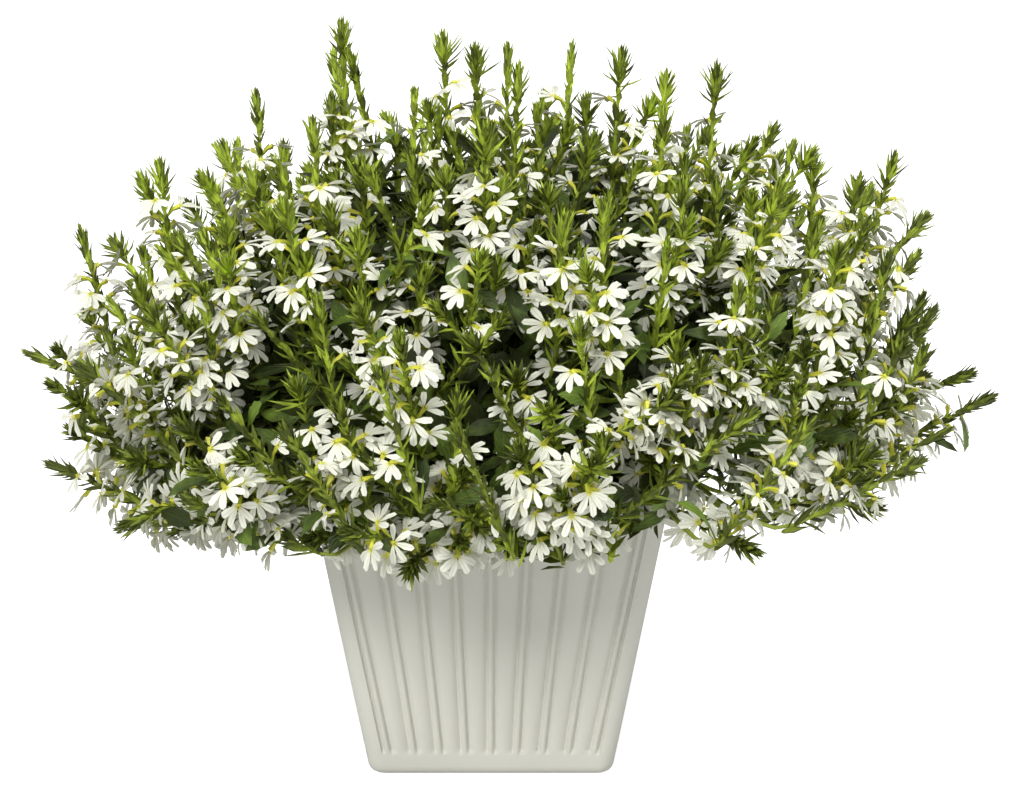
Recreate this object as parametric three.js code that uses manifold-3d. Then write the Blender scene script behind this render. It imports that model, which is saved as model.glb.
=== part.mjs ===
// A fan flower in a square reeded pot: the pot, its soil, nine leafy branches and their heads of white bloom.
// Millimetres, +Z up, the front towards -Y, the origin on the floor at the middle of the pot's base.
import * as THREE from "three";
import { mergeVertices } from "three/addons/utils/BufferGeometryUtils.js";
import Module from "manifold-3d";

const wasm = await Module();
wasm.setup();

// Pot: a square tapered bucket with a plain base band, a plain lip and reeded walls between them
const POT_HEIGHT = 162;
const RIM_WIDTH = 190;
const BASE_WIDTH = 130;
const WALL = 6;
const FLOOR_THICKNESS = 8;
const CORNER_RADIUS = 11;
const CORNER_STEPS = 4;
const BASE_EDGE = 5;
const BASE_EDGE_BEVEL = { inset: 0.2, height: 0.35 };
const BASE_BAND = 11;
const LIP_HEIGHT = 10;
const LIP_PROUD = 2;
const RUN_OUT = 3;
const CORNER_BAND = 12.5;
const BEADS_PER_SIDE = 9;
const BEAD_HEIGHT = 0.9;
const BEAD_HALF_WIDTH = 2;
const GROOVE_DEPTH = 0.7;
const PANEL_CROWN = 0.6;
const DRAIN_RADIUS = 5;
const DRAIN_OFFSET = 30;

// Soil: a crumbly bed that fills the pot to below the lip
const FIT_GAP = 0.3;
const SOIL_BELOW_RIM = 18;
const SOIL_MOUND = 5;
const SOIL_CRUMB = 1.4;
const SOIL_RINGS = [
  { share: 0.8, mound: 0.4 },
  { share: 0.28, mound: 0.9 },
];

// Plant: eight side branches round a middle one, on a crown above the soil
const SEED = 7;
const SECTORS = 8;
const CROWN_HEIGHT = 170;
const TRUNK_SIDES = 5;
const TRUNK_RADIUS = 3.2;
const TRUNK_TAPER = 0.8;
const TRUNK_DEPTH = 24;
const TRUNK_RING = 37;
const TRUNK_HEIGHT = 184;
const FORK_RING = 47;
const MIDDLE_TRUNK_HEIGHT = 194;
const STEM_ROOT_RADIUS = 2.5;
const STEM_TIP_RADIUS = 1.4;
const STEM_STEPS = [0, 0.36];
const STEM_START_PULL = 0.35;
const STEM_END_PULL = 0.25;
const CORNER_REACH = 16;
const LOOSENESS = { azimuth: 3, elevation: 2.5, reach: 7, lift: 5 };

// Each row of shoots: the tip's angle above the crown, its reach from the crown, its turn within the
// sector, the lift of its end above level, the height where it leaves the trunk and its first direction
const ROWS = [
  { elevation: -6, reach: 222, turn: -10, lift: -10, root: 172, start: 48 },
  { elevation: 8, reach: 252, turn: 11, lift: 30, root: 174, start: 54 },
  { elevation: 25, reach: 244, turn: -11, lift: 58, root: 176, start: 60 },
  { elevation: 40, reach: 240, turn: 10, lift: 72, root: 178, start: 66 },
  { elevation: 58, reach: 234, turn: -2, lift: 82, root: 182, start: 80 },
];

// The shoots that stand out of the mound on its right and its left, which draw its outline
const LEADERS = {
  "0:1": { elevation: 4.8, reach: 277, turn: 2, lift: 26 },
  "0:2": { elevation: 20, reach: 246, turn: -5, lift: 66 },
  "0:3": { elevation: 35.5, reach: 269, turn: 4, lift: 74 },
  "0:4": { elevation: 60, reach: 242, turn: -8, lift: 86 },
  "4:1": { elevation: 11.6, reach: 258, turn: 3, lift: 24 },
  "4:2": { elevation: 27, reach: 252, turn: -6, lift: 76 },
  "4:3": { elevation: 42, reach: 239, turn: 8, lift: 84 },
  "4:4": { elevation: 57, reach: 230, turn: 2, lift: 86 },
};

// The middle branch's shoots, by their own azimuth, which leave the trunk one above another
const MIDDLE_ROOT = 176;
const MIDDLE_ROOT_STEP = 3;
const MIDDLE_START = 84;
const MIDDLE_SHOOTS = [
  { azimuth: 182, elevation: 71, reach: 244, lift: 88 },
  { azimuth: 115, elevation: 74, reach: 226, lift: 84 },
  { azimuth: 50, elevation: 72, reach: 222, lift: 84 },
  { azimuth: -8, elevation: 72, reach: 228, lift: 86 },
  { azimuth: 285, elevation: 75, reach: 222, lift: 82 },
  { azimuth: 225, elevation: 87, reach: 219, lift: 88 },
];

// Tip of a shoot: a straight end with a tuft of bracts over its head of bloom
const TUFT_HEIGHT = 30;
const BARE_STEM = 6;
const TUFT_TIERS = [
  { ring: 1.4, at: 0, tip: 8.5, top: 12.5 },
  { ring: 1.7, at: 8, tip: 6.5, top: 20.5 },
  { ring: 1.4, at: 16, tip: 4, top: 27.5 },
];
const TUFT_LAST_RING = { ring: 0.9, at: 22.5 };
const BRACT_VARIES = 0.15;

// Head of bloom: fans of five petals set one after another up a spiral, three to a turn
const FANS_PER_TURN = 3;
const FANS = 5;
const PETALS = 5;
const PITCH = 27;
const HEAD_TURN = 45;
const HEAD_TURN_STEP = 20;
const FAN_SLOPE = 42;
const FAN_SLOPE_VARIES = 6;
const THROAT_RADIUS = 9.5;
const PETAL_LENGTH = 19.5;
const PETAL_HALF_ANGLE = 12;
const PETAL_STEP = 36;
const PETAL_TURN_VARIES = 3;
const PETAL_LENGTH_VARIES = 0.07;
const NOTCH_REACH = 6.6;
const SHARED_NOTCH_RADIUS = 6.5;
const SHARED_NOTCH_DROP = 2;
const COLLAR_RADIUS = 3.6;
const COLLAR_DROP = 1.5;
const PETAL_RIDGE = 0.5;
const THROAT_THICKNESS = 1;
const HEAD_LENGTH = (PITCH * FANS) / FANS_PER_TURN;
const FIRST_FAN_DROP = 2;

// Leaves: toothed blades on the upper half of each stem, given as places along it, and an edge as places
// along the blade with their half widths
const LEAF_PLACES = [0.82, 0.95];
const LEAF_LENGTH = 44;
const LEAF_WIDTH = 16;
const LEAF_VARIES = 0.15;
const LEAF_EDGE = [
  [0.55, 0.5],
  [0.67, 0.3],
  [0.83, 0.36],
];
const LEAF_MIDDLE = 0.5;
const LEAF_HALF_THICKNESS = 0.5;
const LEAF_SEAT = 3;
const LEAF_SPREAD = 52;
const LEAF_DROOP = 6;
const CLEARANCE = 0.4;

// Inner foliage: a leafy core in each branch, well inside the heads of bloom
const CORE_RADIUS = 144;
const CORE_TOP_RADIUS = 116;
const CORE_TAPER = [20, 80];
const CORE_GAP_ANGLE = 0.25;
const CORE_LOW = 9;
const CORE_HIGH = 56;
const CORE_ROWS = 6;
const CORE_COLUMNS = 6;
const CORE_SPIKE = 12;
const CORE_SPIKE_VARIES = 3;
const CORE_SPIKE_WANDERS = 1.5;
const CORE_VALLEY = -20;
const CORE_TURN_UP = 4;
const CORE_APEX_HEIGHT = 160;
const CAP_SIDES = 12;
const CAP_RINGS = [57.5, 68, 79];
const CAP_APEX_HEIGHT = 168;

// The things that are drawn, each by its own number
const DRAWN = {
  azimuth: 1,
  elevation: 2,
  reach: 3,
  lift: 4,
  crumb: 11,
  bract: 20,
  coreAzimuth: 31,
  coreSpike: 32,
  headTurn: 41,
  fanSlope: 42,
  petalTurn: 43,
  petalLength: 44,
  leaf: 51,
};

const UP = new THREE.Vector3(0, 0, 1);
const CROWN = new THREE.Vector3(0, 0, CROWN_HEIGHT);
const rad = THREE.MathUtils.degToRad;
const lerp = THREE.MathUtils.lerp;

// A repeatable draw from -1 to 1 for a numbered thing and a purpose.
function draw(index, purpose) {
  const wave = Math.sin(index * 12.9898 + purpose * 78.233 + SEED) * 43758.5453;
  return 2 * (wave - Math.floor(wave)) - 1;
}

// The level direction at an azimuth in degrees.
function outward(azimuth) {
  return new THREE.Vector3(Math.cos(rad(azimuth)), Math.sin(rad(azimuth)), 0);
}

// The direction at an azimuth and an angle above level, in degrees.
function heading(azimuth, lift) {
  return outward(azimuth).multiplyScalar(Math.cos(rad(lift))).addScaledVector(UP, Math.sin(rad(lift)));
}

// A point from a start and any number of steps, each a direction and a distance.
function from(start, ...steps) {
  const point = start.clone();
  for (const [direction, distance] of steps) {
    point.addScaledVector(direction, distance);
  }
  return point;
}

// A closed mesh that is being put together from points and triangles.
class Skin {
  constructor() {
    this.points = [];
    this.faces = [];
  }

  add(point) {
    this.points.push(point);
    return this.points.length - 1;
  }

  ring(points) {
    return points.map((point) => this.add(point));
  }

  // Triangles round a middle vertex, along a line of vertices.
  fan(middle, line) {
    for (let i = 0; i + 1 < line.length; i += 1) {
      this.faces.push([middle, line[i], line[i + 1]]);
    }
  }

  // A band of quads between two rings with as many points each.
  band(lower, upper) {
    lower.forEach((a, i) => {
      const next = (i + 1) % lower.length;
      this.faces.push([a, lower[next], upper[next]], [a, upper[next], upper[i]]);
    });
  }

  // The same as a manifold-3d solid, turned the right way out.
  solid() {
    const build = (faces) =>
      new wasm.Manifold(
        new wasm.Mesh({
          numProp: 3,
          vertProperties: new Float32Array(this.points.flatMap((p) => p.toArray())),
          triVerts: new Uint32Array(faces.flat()),
        }),
      );
    const made = build(this.faces);
    return made.volume() < 0 ? build(this.faces.map(([a, b, c]) => [a, c, b])) : made;
  }
}

// A three.js geometry as a manifold-3d solid.
function solidOf(geometry) {
  const bare = geometry.clone();
  bare.deleteAttribute("normal");
  bare.deleteAttribute("uv");
  const merged = mergeVertices(bare, 1e-4);
  return new wasm.Manifold(
    new wasm.Mesh({
      numProp: 3,
      vertProperties: merged.attributes.position.array,
      triVerts: new Uint32Array(merged.index.array),
    }),
  );
}

// A manifold-3d solid as a flat shaded three.js mesh.
function pieceOf(name, solid, material) {
  const mesh = solid.getMesh();
  const geometry = new THREE.BufferGeometry();
  geometry.setAttribute("position", new THREE.BufferAttribute(mesh.vertProperties, mesh.numProp));
  geometry.setIndex(new THREE.BufferAttribute(mesh.triVerts, 1));
  const flat = geometry.toNonIndexed();
  flat.computeVertexNormals();
  const piece = new THREE.Mesh(flat, material);
  piece.name = name;
  return piece;
}

// Half the width of the pot's wall line at a height.
function wallLine(z) {
  return lerp(BASE_WIDTH, RIM_WIDTH, z / POT_HEIGHT) / 2;
}

// A rounded square of half width w at height z. sidePoints gives what lies on a side between its corners,
// as pairs of a place along the side and a height above it.
function squareRing(w, z, radius, sidePoints = []) {
  const points = [];
  for (let side = 0; side < 4; side += 1) {
    const turn = (side * Math.PI) / 2;
    const place = (along, out) => new THREE.Vector3(out, along, z).applyAxisAngle(UP, turn);
    for (const [along, proud] of sidePoints) {
      points.push(place(along, w + proud));
    }
    for (let step = 0; step <= CORNER_STEPS; step += 1) {
      const angle = (step / CORNER_STEPS) * (Math.PI / 2);
      points.push(place(w - radius + radius * Math.sin(angle), w - radius + radius * Math.cos(angle)));
    }
  }
  return points;
}

// The reeding across one side at a height: a bead in a narrow groove, then a gently crowned panel.
function reeding(w) {
  const reach = w - CORNER_BAND;
  const pitch = (2 * reach) / (BEADS_PER_SIDE - 1);
  const points = [];
  for (let bead = 0; bead < BEADS_PER_SIDE; bead += 1) {
    const along = bead * pitch - reach;
    points.push([along - BEAD_HALF_WIDTH, -GROOVE_DEPTH]);
    points.push([along, BEAD_HEIGHT]);
    points.push([along + BEAD_HALF_WIDTH, -GROOVE_DEPTH]);
    if (bead < BEADS_PER_SIDE - 1) {
      points.push([along + pitch / 2, PANEL_CROWN]);
    }
  }
  return points;
}

// Joins a plain ring to a reeded one, whose sides have more points between the same corners.
function stitch(skin, plain, reeded, reededIsUpper) {
  const corner = CORNER_STEPS + 1;
  const between = reeded.length / 4 - corner;
  const push = (a, b, c) => skin.faces.push(reededIsUpper ? [a, b, c] : [a, c, b]);
  for (let side = 0; side < 4; side += 1) {
    const p = (i) => plain[(side * corner + i + plain.length) % plain.length];
    const r = (i) => reeded[(side * (corner + between) + i + reeded.length) % reeded.length];
    const half = Math.floor((between + 1) / 2);
    for (let i = 0; i < half; i += 1) {
      push(p(-1), r(i), r(i - 1));
    }
    push(p(-1), p(0), r(half - 1));
    for (let i = half; i <= between; i += 1) {
      push(p(0), r(i), r(i - 1));
    }
    for (let step = 0; step < CORNER_STEPS; step += 1) {
      push(p(step), p(step + 1), r(between + step + 1));
      push(p(step), r(between + step + 1), r(between + step));
    }
  }
}

function potSolid() {
  const skin = new Skin();
  const ring = (w, z, radius = CORNER_RADIUS) => skin.ring(squareRing(w, z, radius));
  const reededRing = (z) => skin.ring(squareRing(wallLine(z), z, CORNER_RADIUS, reeding(wallLine(z))));
  const lipBottom = POT_HEIGHT - LIP_HEIGHT;
  const innerRadius = CORNER_RADIUS - WALL / 2;

  const foot = ring(wallLine(0) - BASE_EDGE, 0);
  const { inset, height } = BASE_EDGE_BEVEL;
  const footEdge = ring(wallLine(0) - BASE_EDGE * inset, BASE_EDGE * height);
  const bandLow = ring(wallLine(BASE_EDGE), BASE_EDGE);
  const bandTop = ring(wallLine(BASE_BAND), BASE_BAND);
  const reedLow = reededRing(BASE_BAND + RUN_OUT);
  const reedHigh = reededRing(lipBottom - RUN_OUT);
  const underLip = ring(wallLine(lipBottom), lipBottom);
  const lipLow = ring(wallLine(lipBottom) + LIP_PROUD, lipBottom + LIP_PROUD / 2);
  const lipTop = ring(wallLine(POT_HEIGHT) + LIP_PROUD, POT_HEIGHT);
  const mouth = ring(wallLine(POT_HEIGHT) - WALL, POT_HEIGHT, innerRadius);
  const cavityFloor = ring(wallLine(FLOOR_THICKNESS) - WALL, FLOOR_THICKNESS, innerRadius);

  const underside = skin.add(new THREE.Vector3(0, 0, 0));
  skin.fan(underside, [...foot, foot[0]].reverse());
  skin.band(foot, footEdge);
  skin.band(footEdge, bandLow);
  skin.band(bandLow, bandTop);
  stitch(skin, bandTop, reedLow, true);
  skin.band(reedLow, reedHigh);
  stitch(skin, underLip, reedHigh, false);
  skin.band(underLip, lipLow);
  skin.band(lipLow, lipTop);
  skin.band(lipTop, mouth);
  skin.band(mouth, cavityFloor);
  skin.fan(skin.add(new THREE.Vector3(0, 0, FLOOR_THICKNESS)), [...cavityFloor, cavityFloor[0]]);

  const drains = [];
  for (let corner = 0; corner < 4; corner += 1) {
    const drain = new THREE.CylinderGeometry(DRAIN_RADIUS, DRAIN_RADIUS, 3 * FLOOR_THICKNESS, 6);
    drain.rotateX(Math.PI / 2);
    const place = outward(45 + 90 * corner).multiplyScalar(DRAIN_OFFSET * Math.SQRT2);
    drain.translate(place.x, place.y, 0);
    drains.push(solidOf(drain));
  }
  return skin.solid().subtract(wasm.Manifold.union(drains));
}

// Where the trunk of branch k stands in the soil; the last branch stands in the middle.
function trunkFoot(k) {
  const ring = k < SECTORS ? TRUNK_RING : 0;
  return outward((360 / SECTORS) * k).multiplyScalar(ring).setZ(soilTop() - TRUNK_DEPTH);
}

function soilTop() {
  return POT_HEIGHT - SOIL_BELOW_RIM;
}

function soilSolid() {
  const skin = new Skin();
  const innerRadius = CORNER_RADIUS - WALL / 2;
  const low = FLOOR_THICKNESS + FIT_GAP;
  const width = (z) => wallLine(z) - WALL - 1.5 * FIT_GAP;
  const crumbled = ({ share, mound }, index) =>
    squareRing(width(soilTop()) * share, soilTop() + SOIL_MOUND * mound, innerRadius).map((p, i) =>
      p.setZ(p.z + SOIL_CRUMB * draw(i, DRAWN.crumb + index)),
    );
  const floor = skin.ring(squareRing(width(low), low, innerRadius));
  const edge = skin.ring(squareRing(width(soilTop()), soilTop(), innerRadius));
  const [outer, inner] = SOIL_RINGS.map((level, index) => skin.ring(crumbled(level, index)));
  skin.fan(skin.add(new THREE.Vector3(0, 0, low)), [...floor, floor[0]].reverse());
  skin.band(floor, edge);
  skin.band(edge, outer);
  skin.band(outer, inner);
  skin.fan(skin.add(new THREE.Vector3(0, 0, soilTop() + SOIL_MOUND)), [...inner, inner[0]]);

  const holes = [];
  const holeRadius = (TRUNK_RADIUS + FIT_GAP) / Math.cos(Math.PI / 6);
  for (let k = 0; k <= SECTORS; k += 1) {
    const hole = new THREE.CylinderGeometry(holeRadius, holeRadius, 3 * TRUNK_DEPTH, 6);
    hole.rotateX(Math.PI / 2);
    const foot = trunkFoot(k);
    hole.translate(foot.x, foot.y, foot.z - FIT_GAP + 1.5 * TRUNK_DEPTH);
    holes.push(solidOf(hole));
  }
  return skin.solid().subtract(wasm.Manifold.union(holes));
}

// Every shoot: which branch it grows on, its tip, the direction of its end and its root on the trunk.
function allShoots() {
  const shoots = [];
  for (let k = 0; k < SECTORS; k += 1) {
    ROWS.forEach((row, r) => {
      const index = k * ROWS.length + r;
      const leader = LEADERS[`${k}:${r}`];
      const spec = { ...row, ...leader };
      const loose = (name) => (leader ? 0 : LOOSENESS[name] * draw(index, DRAWN[name]));
      const corner = r === 0 ? CORNER_REACH * (k % 2) : 0;
      const aim = {
        azimuth: (360 / SECTORS) * k + spec.turn + loose("azimuth"),
        elevation: spec.elevation + loose("elevation"),
        reach: spec.reach + corner + loose("reach"),
        lift: spec.lift + loose("lift"),
      };
      shoots.push(shootOf(index, k, aim, trunkPoint(k, spec.root), spec.start));
    });
  }
  MIDDLE_SHOOTS.forEach((spec, m) => {
    const index = SECTORS * ROWS.length + m;
    const root = trunkPoint(SECTORS, MIDDLE_ROOT + MIDDLE_ROOT_STEP * m);
    shoots.push(shootOf(index, SECTORS, spec, root, MIDDLE_START));
  });
  return shoots;
}

// A point on the middle line of a trunk at a height.
function trunkPoint(k, z) {
  const foot = trunkFoot(k);
  const top = trunkTop(k);
  const share = THREE.MathUtils.clamp((z - soilTop()) / (top.z - soilTop()), 0, 1);
  return new THREE.Vector3(lerp(foot.x, top.x, share), lerp(foot.y, top.y, share), z);
}

function trunkTop(k) {
  const ring = k < SECTORS ? FORK_RING : 0;
  const height = k < SECTORS ? TRUNK_HEIGHT : MIDDLE_TRUNK_HEIGHT;
  return outward((360 / SECTORS) * k).multiplyScalar(ring).setZ(height);
}

// A shoot by its aim: its tip stands straight above its head of bloom, and a curve leads there from the root.
function shootOf(index, branch, { azimuth, elevation, reach, lift }, root, start) {
  const tip = from(CROWN, [heading(azimuth, elevation), reach]);
  const end = heading(azimuth, lift);
  const side = outward(azimuth + 90);
  const headBase = from(tip, [end, -(TUFT_HEIGHT + BARE_STEM + HEAD_LENGTH)]);
  const span = headBase.distanceTo(root);
  const away = headBase.clone().sub(root);
  const startAzimuth = THREE.MathUtils.radToDeg(Math.atan2(away.y, away.x));
  const curve = new THREE.CubicBezierCurve3(
    root,
    from(root, [heading(startAzimuth, start), STEM_START_PULL * span]),
    from(headBase, [end, -STEM_END_PULL * span]),
    headBase,
  );
  return { index, branch, azimuth, tip, end, side, outer: side.clone().cross(end), headBase, curve };
}

// A three-sided ring round a point, square to a direction. side is any direction across it.
function stemRing(centre, along, side, radius, turn = 0) {
  const x = side.clone().cross(along).normalize();
  const y = along.clone().cross(x).normalize();
  return [0, 1, 2].map((i) => {
    const angle = turn + (i * 2 * Math.PI) / 3;
    return from(centre, [x, radius * Math.cos(angle)], [y, radius * Math.sin(angle)]);
  });
}

// A tier on a stem, from a ring to the next one above it, which is turned a sixth: each side of the lower
// ring carries what grow makes there, or stays plain.
function tier(skin, lower, upper, grow) {
  for (let i = 0; i < 3; i += 1) {
    const j = (i + 1) % 3;
    grow(i, lower[i], lower[j], upper[i]);
    skin.faces.push([upper[i], lower[j], upper[j]]);
  }
}

// A toothed leaf on the side of a stem between two points a and b of its ring, below the seat point.
// ends holds where the blade's middle line starts and points, and the direction that its face looks.
function growLeaf(skin, a, b, seat, ends, scale) {
  const { start, along, across, face } = ends;
  const length = LEAF_LENGTH * scale;
  const width = LEAF_WIDTH * scale;
  const spot = (u, v, lift) =>
    skin.add(from(start, [along, length * u], [across, width * v], [face, lift - LEAF_DROOP * u * u]));
  const left = LEAF_EDGE.map(([u, v]) => spot(u, -v, 0));
  const right = LEAF_EDGE.map(([u, v]) => spot(u, v, 0)).reverse();
  const tip = spot(1, 0, 0);
  skin.fan(spot(LEAF_MIDDLE, 0, LEAF_HALF_THICKNESS), [a, ...left, tip, ...right, b, seat, a]);
  skin.fan(spot(LEAF_MIDDLE, 0, -LEAF_HALF_THICKNESS), [a, ...[...left, tip, ...right, b].reverse(), a]);
}

// A shoot's stem, with a leaf at each place on the side that sides names, and tiers of three bracts at its
// tip, each tier turned between the one below.
function shootSolid(shoot, sides) {
  const skin = new Skin();
  const sixth = Math.PI / 3;
  let last = null;
  let turn = 0;
  const ringAt = (centre, along, radius) => skin.ring(stemRing(centre, along, shoot.side, radius, turn));
  for (const t of STEM_STEPS) {
    const ring = ringAt(shoot.curve.getPoint(t), shoot.curve.getTangent(t), stemRadius(t));
    if (last) {
      skin.band(last, ring);
    } else {
      skin.faces.push([ring[2], ring[1], ring[0]]);
    }
    last = ring;
  }
  LEAF_PLACES.forEach((t, k) => {
    const along = shoot.curve.getTangent(t);
    const start = shoot.curve.getPoint(t);
    const lower = ringAt(start, along, stemRadius(t));
    skin.band(last, lower);
    turn += sixth;
    const upper = ringAt(from(start, [along, LEAF_SEAT]), along, stemRadius(t));
    tier(skin, lower, upper, (i, a, b, seat) => {
      if (i !== sides[k]) {
        skin.faces.push([a, b, seat]);
        return;
      }
      const middle = skin.points[a].clone().add(skin.points[b]).divideScalar(2);
      const out = middle.clone().sub(start).normalize();
      const across = along.clone().cross(out);
      const blade = along.clone().applyAxisAngle(across, rad(LEAF_SPREAD));
      const face = out.clone().applyAxisAngle(across, rad(LEAF_SPREAD)).negate();
      const scale = 1 + LEAF_VARIES * draw(shoot.index, DRAWN.leaf + k);
      growLeaf(skin, a, b, seat, { start: middle, along: blade, across, face }, scale);
    });
    last = upper;
  });
  const headRing = ringAt(shoot.headBase, shoot.end, STEM_TIP_RADIUS);
  skin.band(last, headRing);
  const tuftBase = from(shoot.tip, [shoot.end, -TUFT_HEIGHT]);
  let ring = ringAt(tuftBase, shoot.end, TUFT_TIERS[0].ring);
  skin.band(headRing, ring);
  TUFT_TIERS.forEach((level, k) => {
    const next = TUFT_TIERS[k + 1] ?? TUFT_LAST_RING;
    const spread = level.tip * (1 + BRACT_VARIES * draw(shoot.index, DRAWN.bract + k));
    turn += sixth;
    const tips = ringAt(from(tuftBase, [shoot.end, level.top]), shoot.end, spread);
    const inner = ringAt(from(tuftBase, [shoot.end, next.at]), shoot.end, next.ring);
    tier(skin, ring, inner, (i, a, b, seat) => {
      skin.faces.push([a, b, tips[i]], [tips[i], b, seat], [a, tips[i], seat]);
    });
    ring = inner;
  });
  skin.fan(skin.add(shoot.tip), [...ring, ring[0]]);
  return skin.solid();
}

function stemRadius(t) {
  return lerp(STEM_ROOT_RADIUS, STEM_TIP_RADIUS, t);
}

// The trunk, from its hole in the soil to where the shoots part.
function trunkSolid(k) {
  const skin = new Skin();
  const foot = trunkFoot(k);
  const collar = foot.clone().setZ(soilTop() + SOIL_MOUND);
  const top = trunkTop(k);
  const turns = Array.from({ length: TRUNK_SIDES }, (_, i) => (360 / TRUNK_SIDES) * i);
  const ringAt = (centre, radius) => skin.ring(turns.map((turn) => from(centre, [outward(turn), radius])));
  const low = ringAt(foot, TRUNK_RADIUS);
  const middle = ringAt(collar, TRUNK_RADIUS);
  const high = ringAt(top, TRUNK_RADIUS * TRUNK_TAPER);
  skin.fan(skin.add(foot), [...low, low[0]].reverse());
  skin.band(low, middle);
  skin.band(middle, high);
  skin.fan(skin.add(from(top, [UP, TRUNK_RADIUS / 2])), [...high, high[0]]);
  return skin.solid();
}

// A branch's leafy core: leaf points stand out of a grid of valleys, and the sides run in to the trunk.
function coreSolid(k) {
  const skin = new Skin();
  const middle = (360 / SECTORS) * k;
  const half = 180 / SECTORS - CORE_GAP_ANGLE;
  const spot = (azimuth, elevation, radius) => from(CROWN, [heading(azimuth, elevation), radius]);
  const grid = [];
  for (let i = 0; i <= CORE_ROWS; i += 1) {
    const row = [];
    for (let j = 0; j <= CORE_COLUMNS; j += 1) {
      const inside = i > 0 && i < CORE_ROWS && j > 0 && j < CORE_COLUMNS;
      const leaf = (i + j) % 2 === 1;
      const index = (k * 10 + i) * 10 + j;
      const wander = inside ? CORE_SPIKE_WANDERS * draw(index, DRAWN.coreAzimuth) : 0;
      const azimuth = middle + lerp(-half, half, j / CORE_COLUMNS) + wander;
      const elevation = lerp(CORE_LOW, CORE_HIGH, i / CORE_ROWS) + (inside && leaf ? CORE_TURN_UP : 0);
      const spike = CORE_SPIKE + CORE_SPIKE_VARIES * draw(index, DRAWN.coreSpike);
      row.push(skin.add(spot(azimuth, elevation, coreRadius(elevation) + (leaf ? spike : CORE_VALLEY))));
    }
    grid.push(row);
  }
  for (let i = 0; i < CORE_ROWS; i += 1) {
    for (let j = 0; j < CORE_COLUMNS; j += 1) {
      const [a, b, c, d] = [grid[i][j], grid[i][j + 1], grid[i + 1][j + 1], grid[i + 1][j]];
      skin.faces.push((i + j) % 2 === 0 ? [a, b, d] : [a, b, c]);
      skin.faces.push((i + j) % 2 === 0 ? [b, c, d] : [a, c, d]);
    }
  }
  const rim = [
    ...grid[0],
    ...grid.slice(1).map((row) => row[CORE_COLUMNS]),
    ...grid[CORE_ROWS].slice(0, -1).reverse(),
    ...grid.slice(0, -1).map((row) => row[0]).reverse(),
  ];
  skin.fan(skin.add(trunkPoint(k, CORE_APEX_HEIGHT)), rim.reverse());
  return skin.solid();
}

function coreRadius(elevation) {
  return lerp(CORE_RADIUS, CORE_TOP_RADIUS, THREE.MathUtils.smoothstep(elevation, ...CORE_TAPER));
}

// The middle branch's core: a cap of rings of leaf points and valleys over the crown.
function capSolid() {
  const skin = new Skin();
  const rings = CAP_RINGS.map((elevation, index) =>
    skin.ring(
      Array.from({ length: CAP_SIDES }, (_, i) => {
        const leaf = (i + index) % 2 === 0;
        const angle = elevation + (leaf && index > 0 ? CORE_TURN_UP : 0);
        const radius = coreRadius(angle) + (leaf ? CORE_SPIKE : CORE_VALLEY);
        return from(CROWN, [heading((360 / CAP_SIDES) * (i + 0.5), angle), radius]);
      }),
    ),
  );
  skin.band(rings[0], rings[1]);
  skin.band(rings[1], rings[2]);
  skin.fan(skin.add(from(CROWN, [UP, CORE_TOP_RADIUS + CORE_SPIKE])), [...rings[2], rings[2][0]]);
  skin.fan(skin.add(trunkPoint(SECTORS, CAP_APEX_HEIGHT)), [...rings[0], rings[0][0]].reverse());
  return skin.solid();
}

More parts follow.
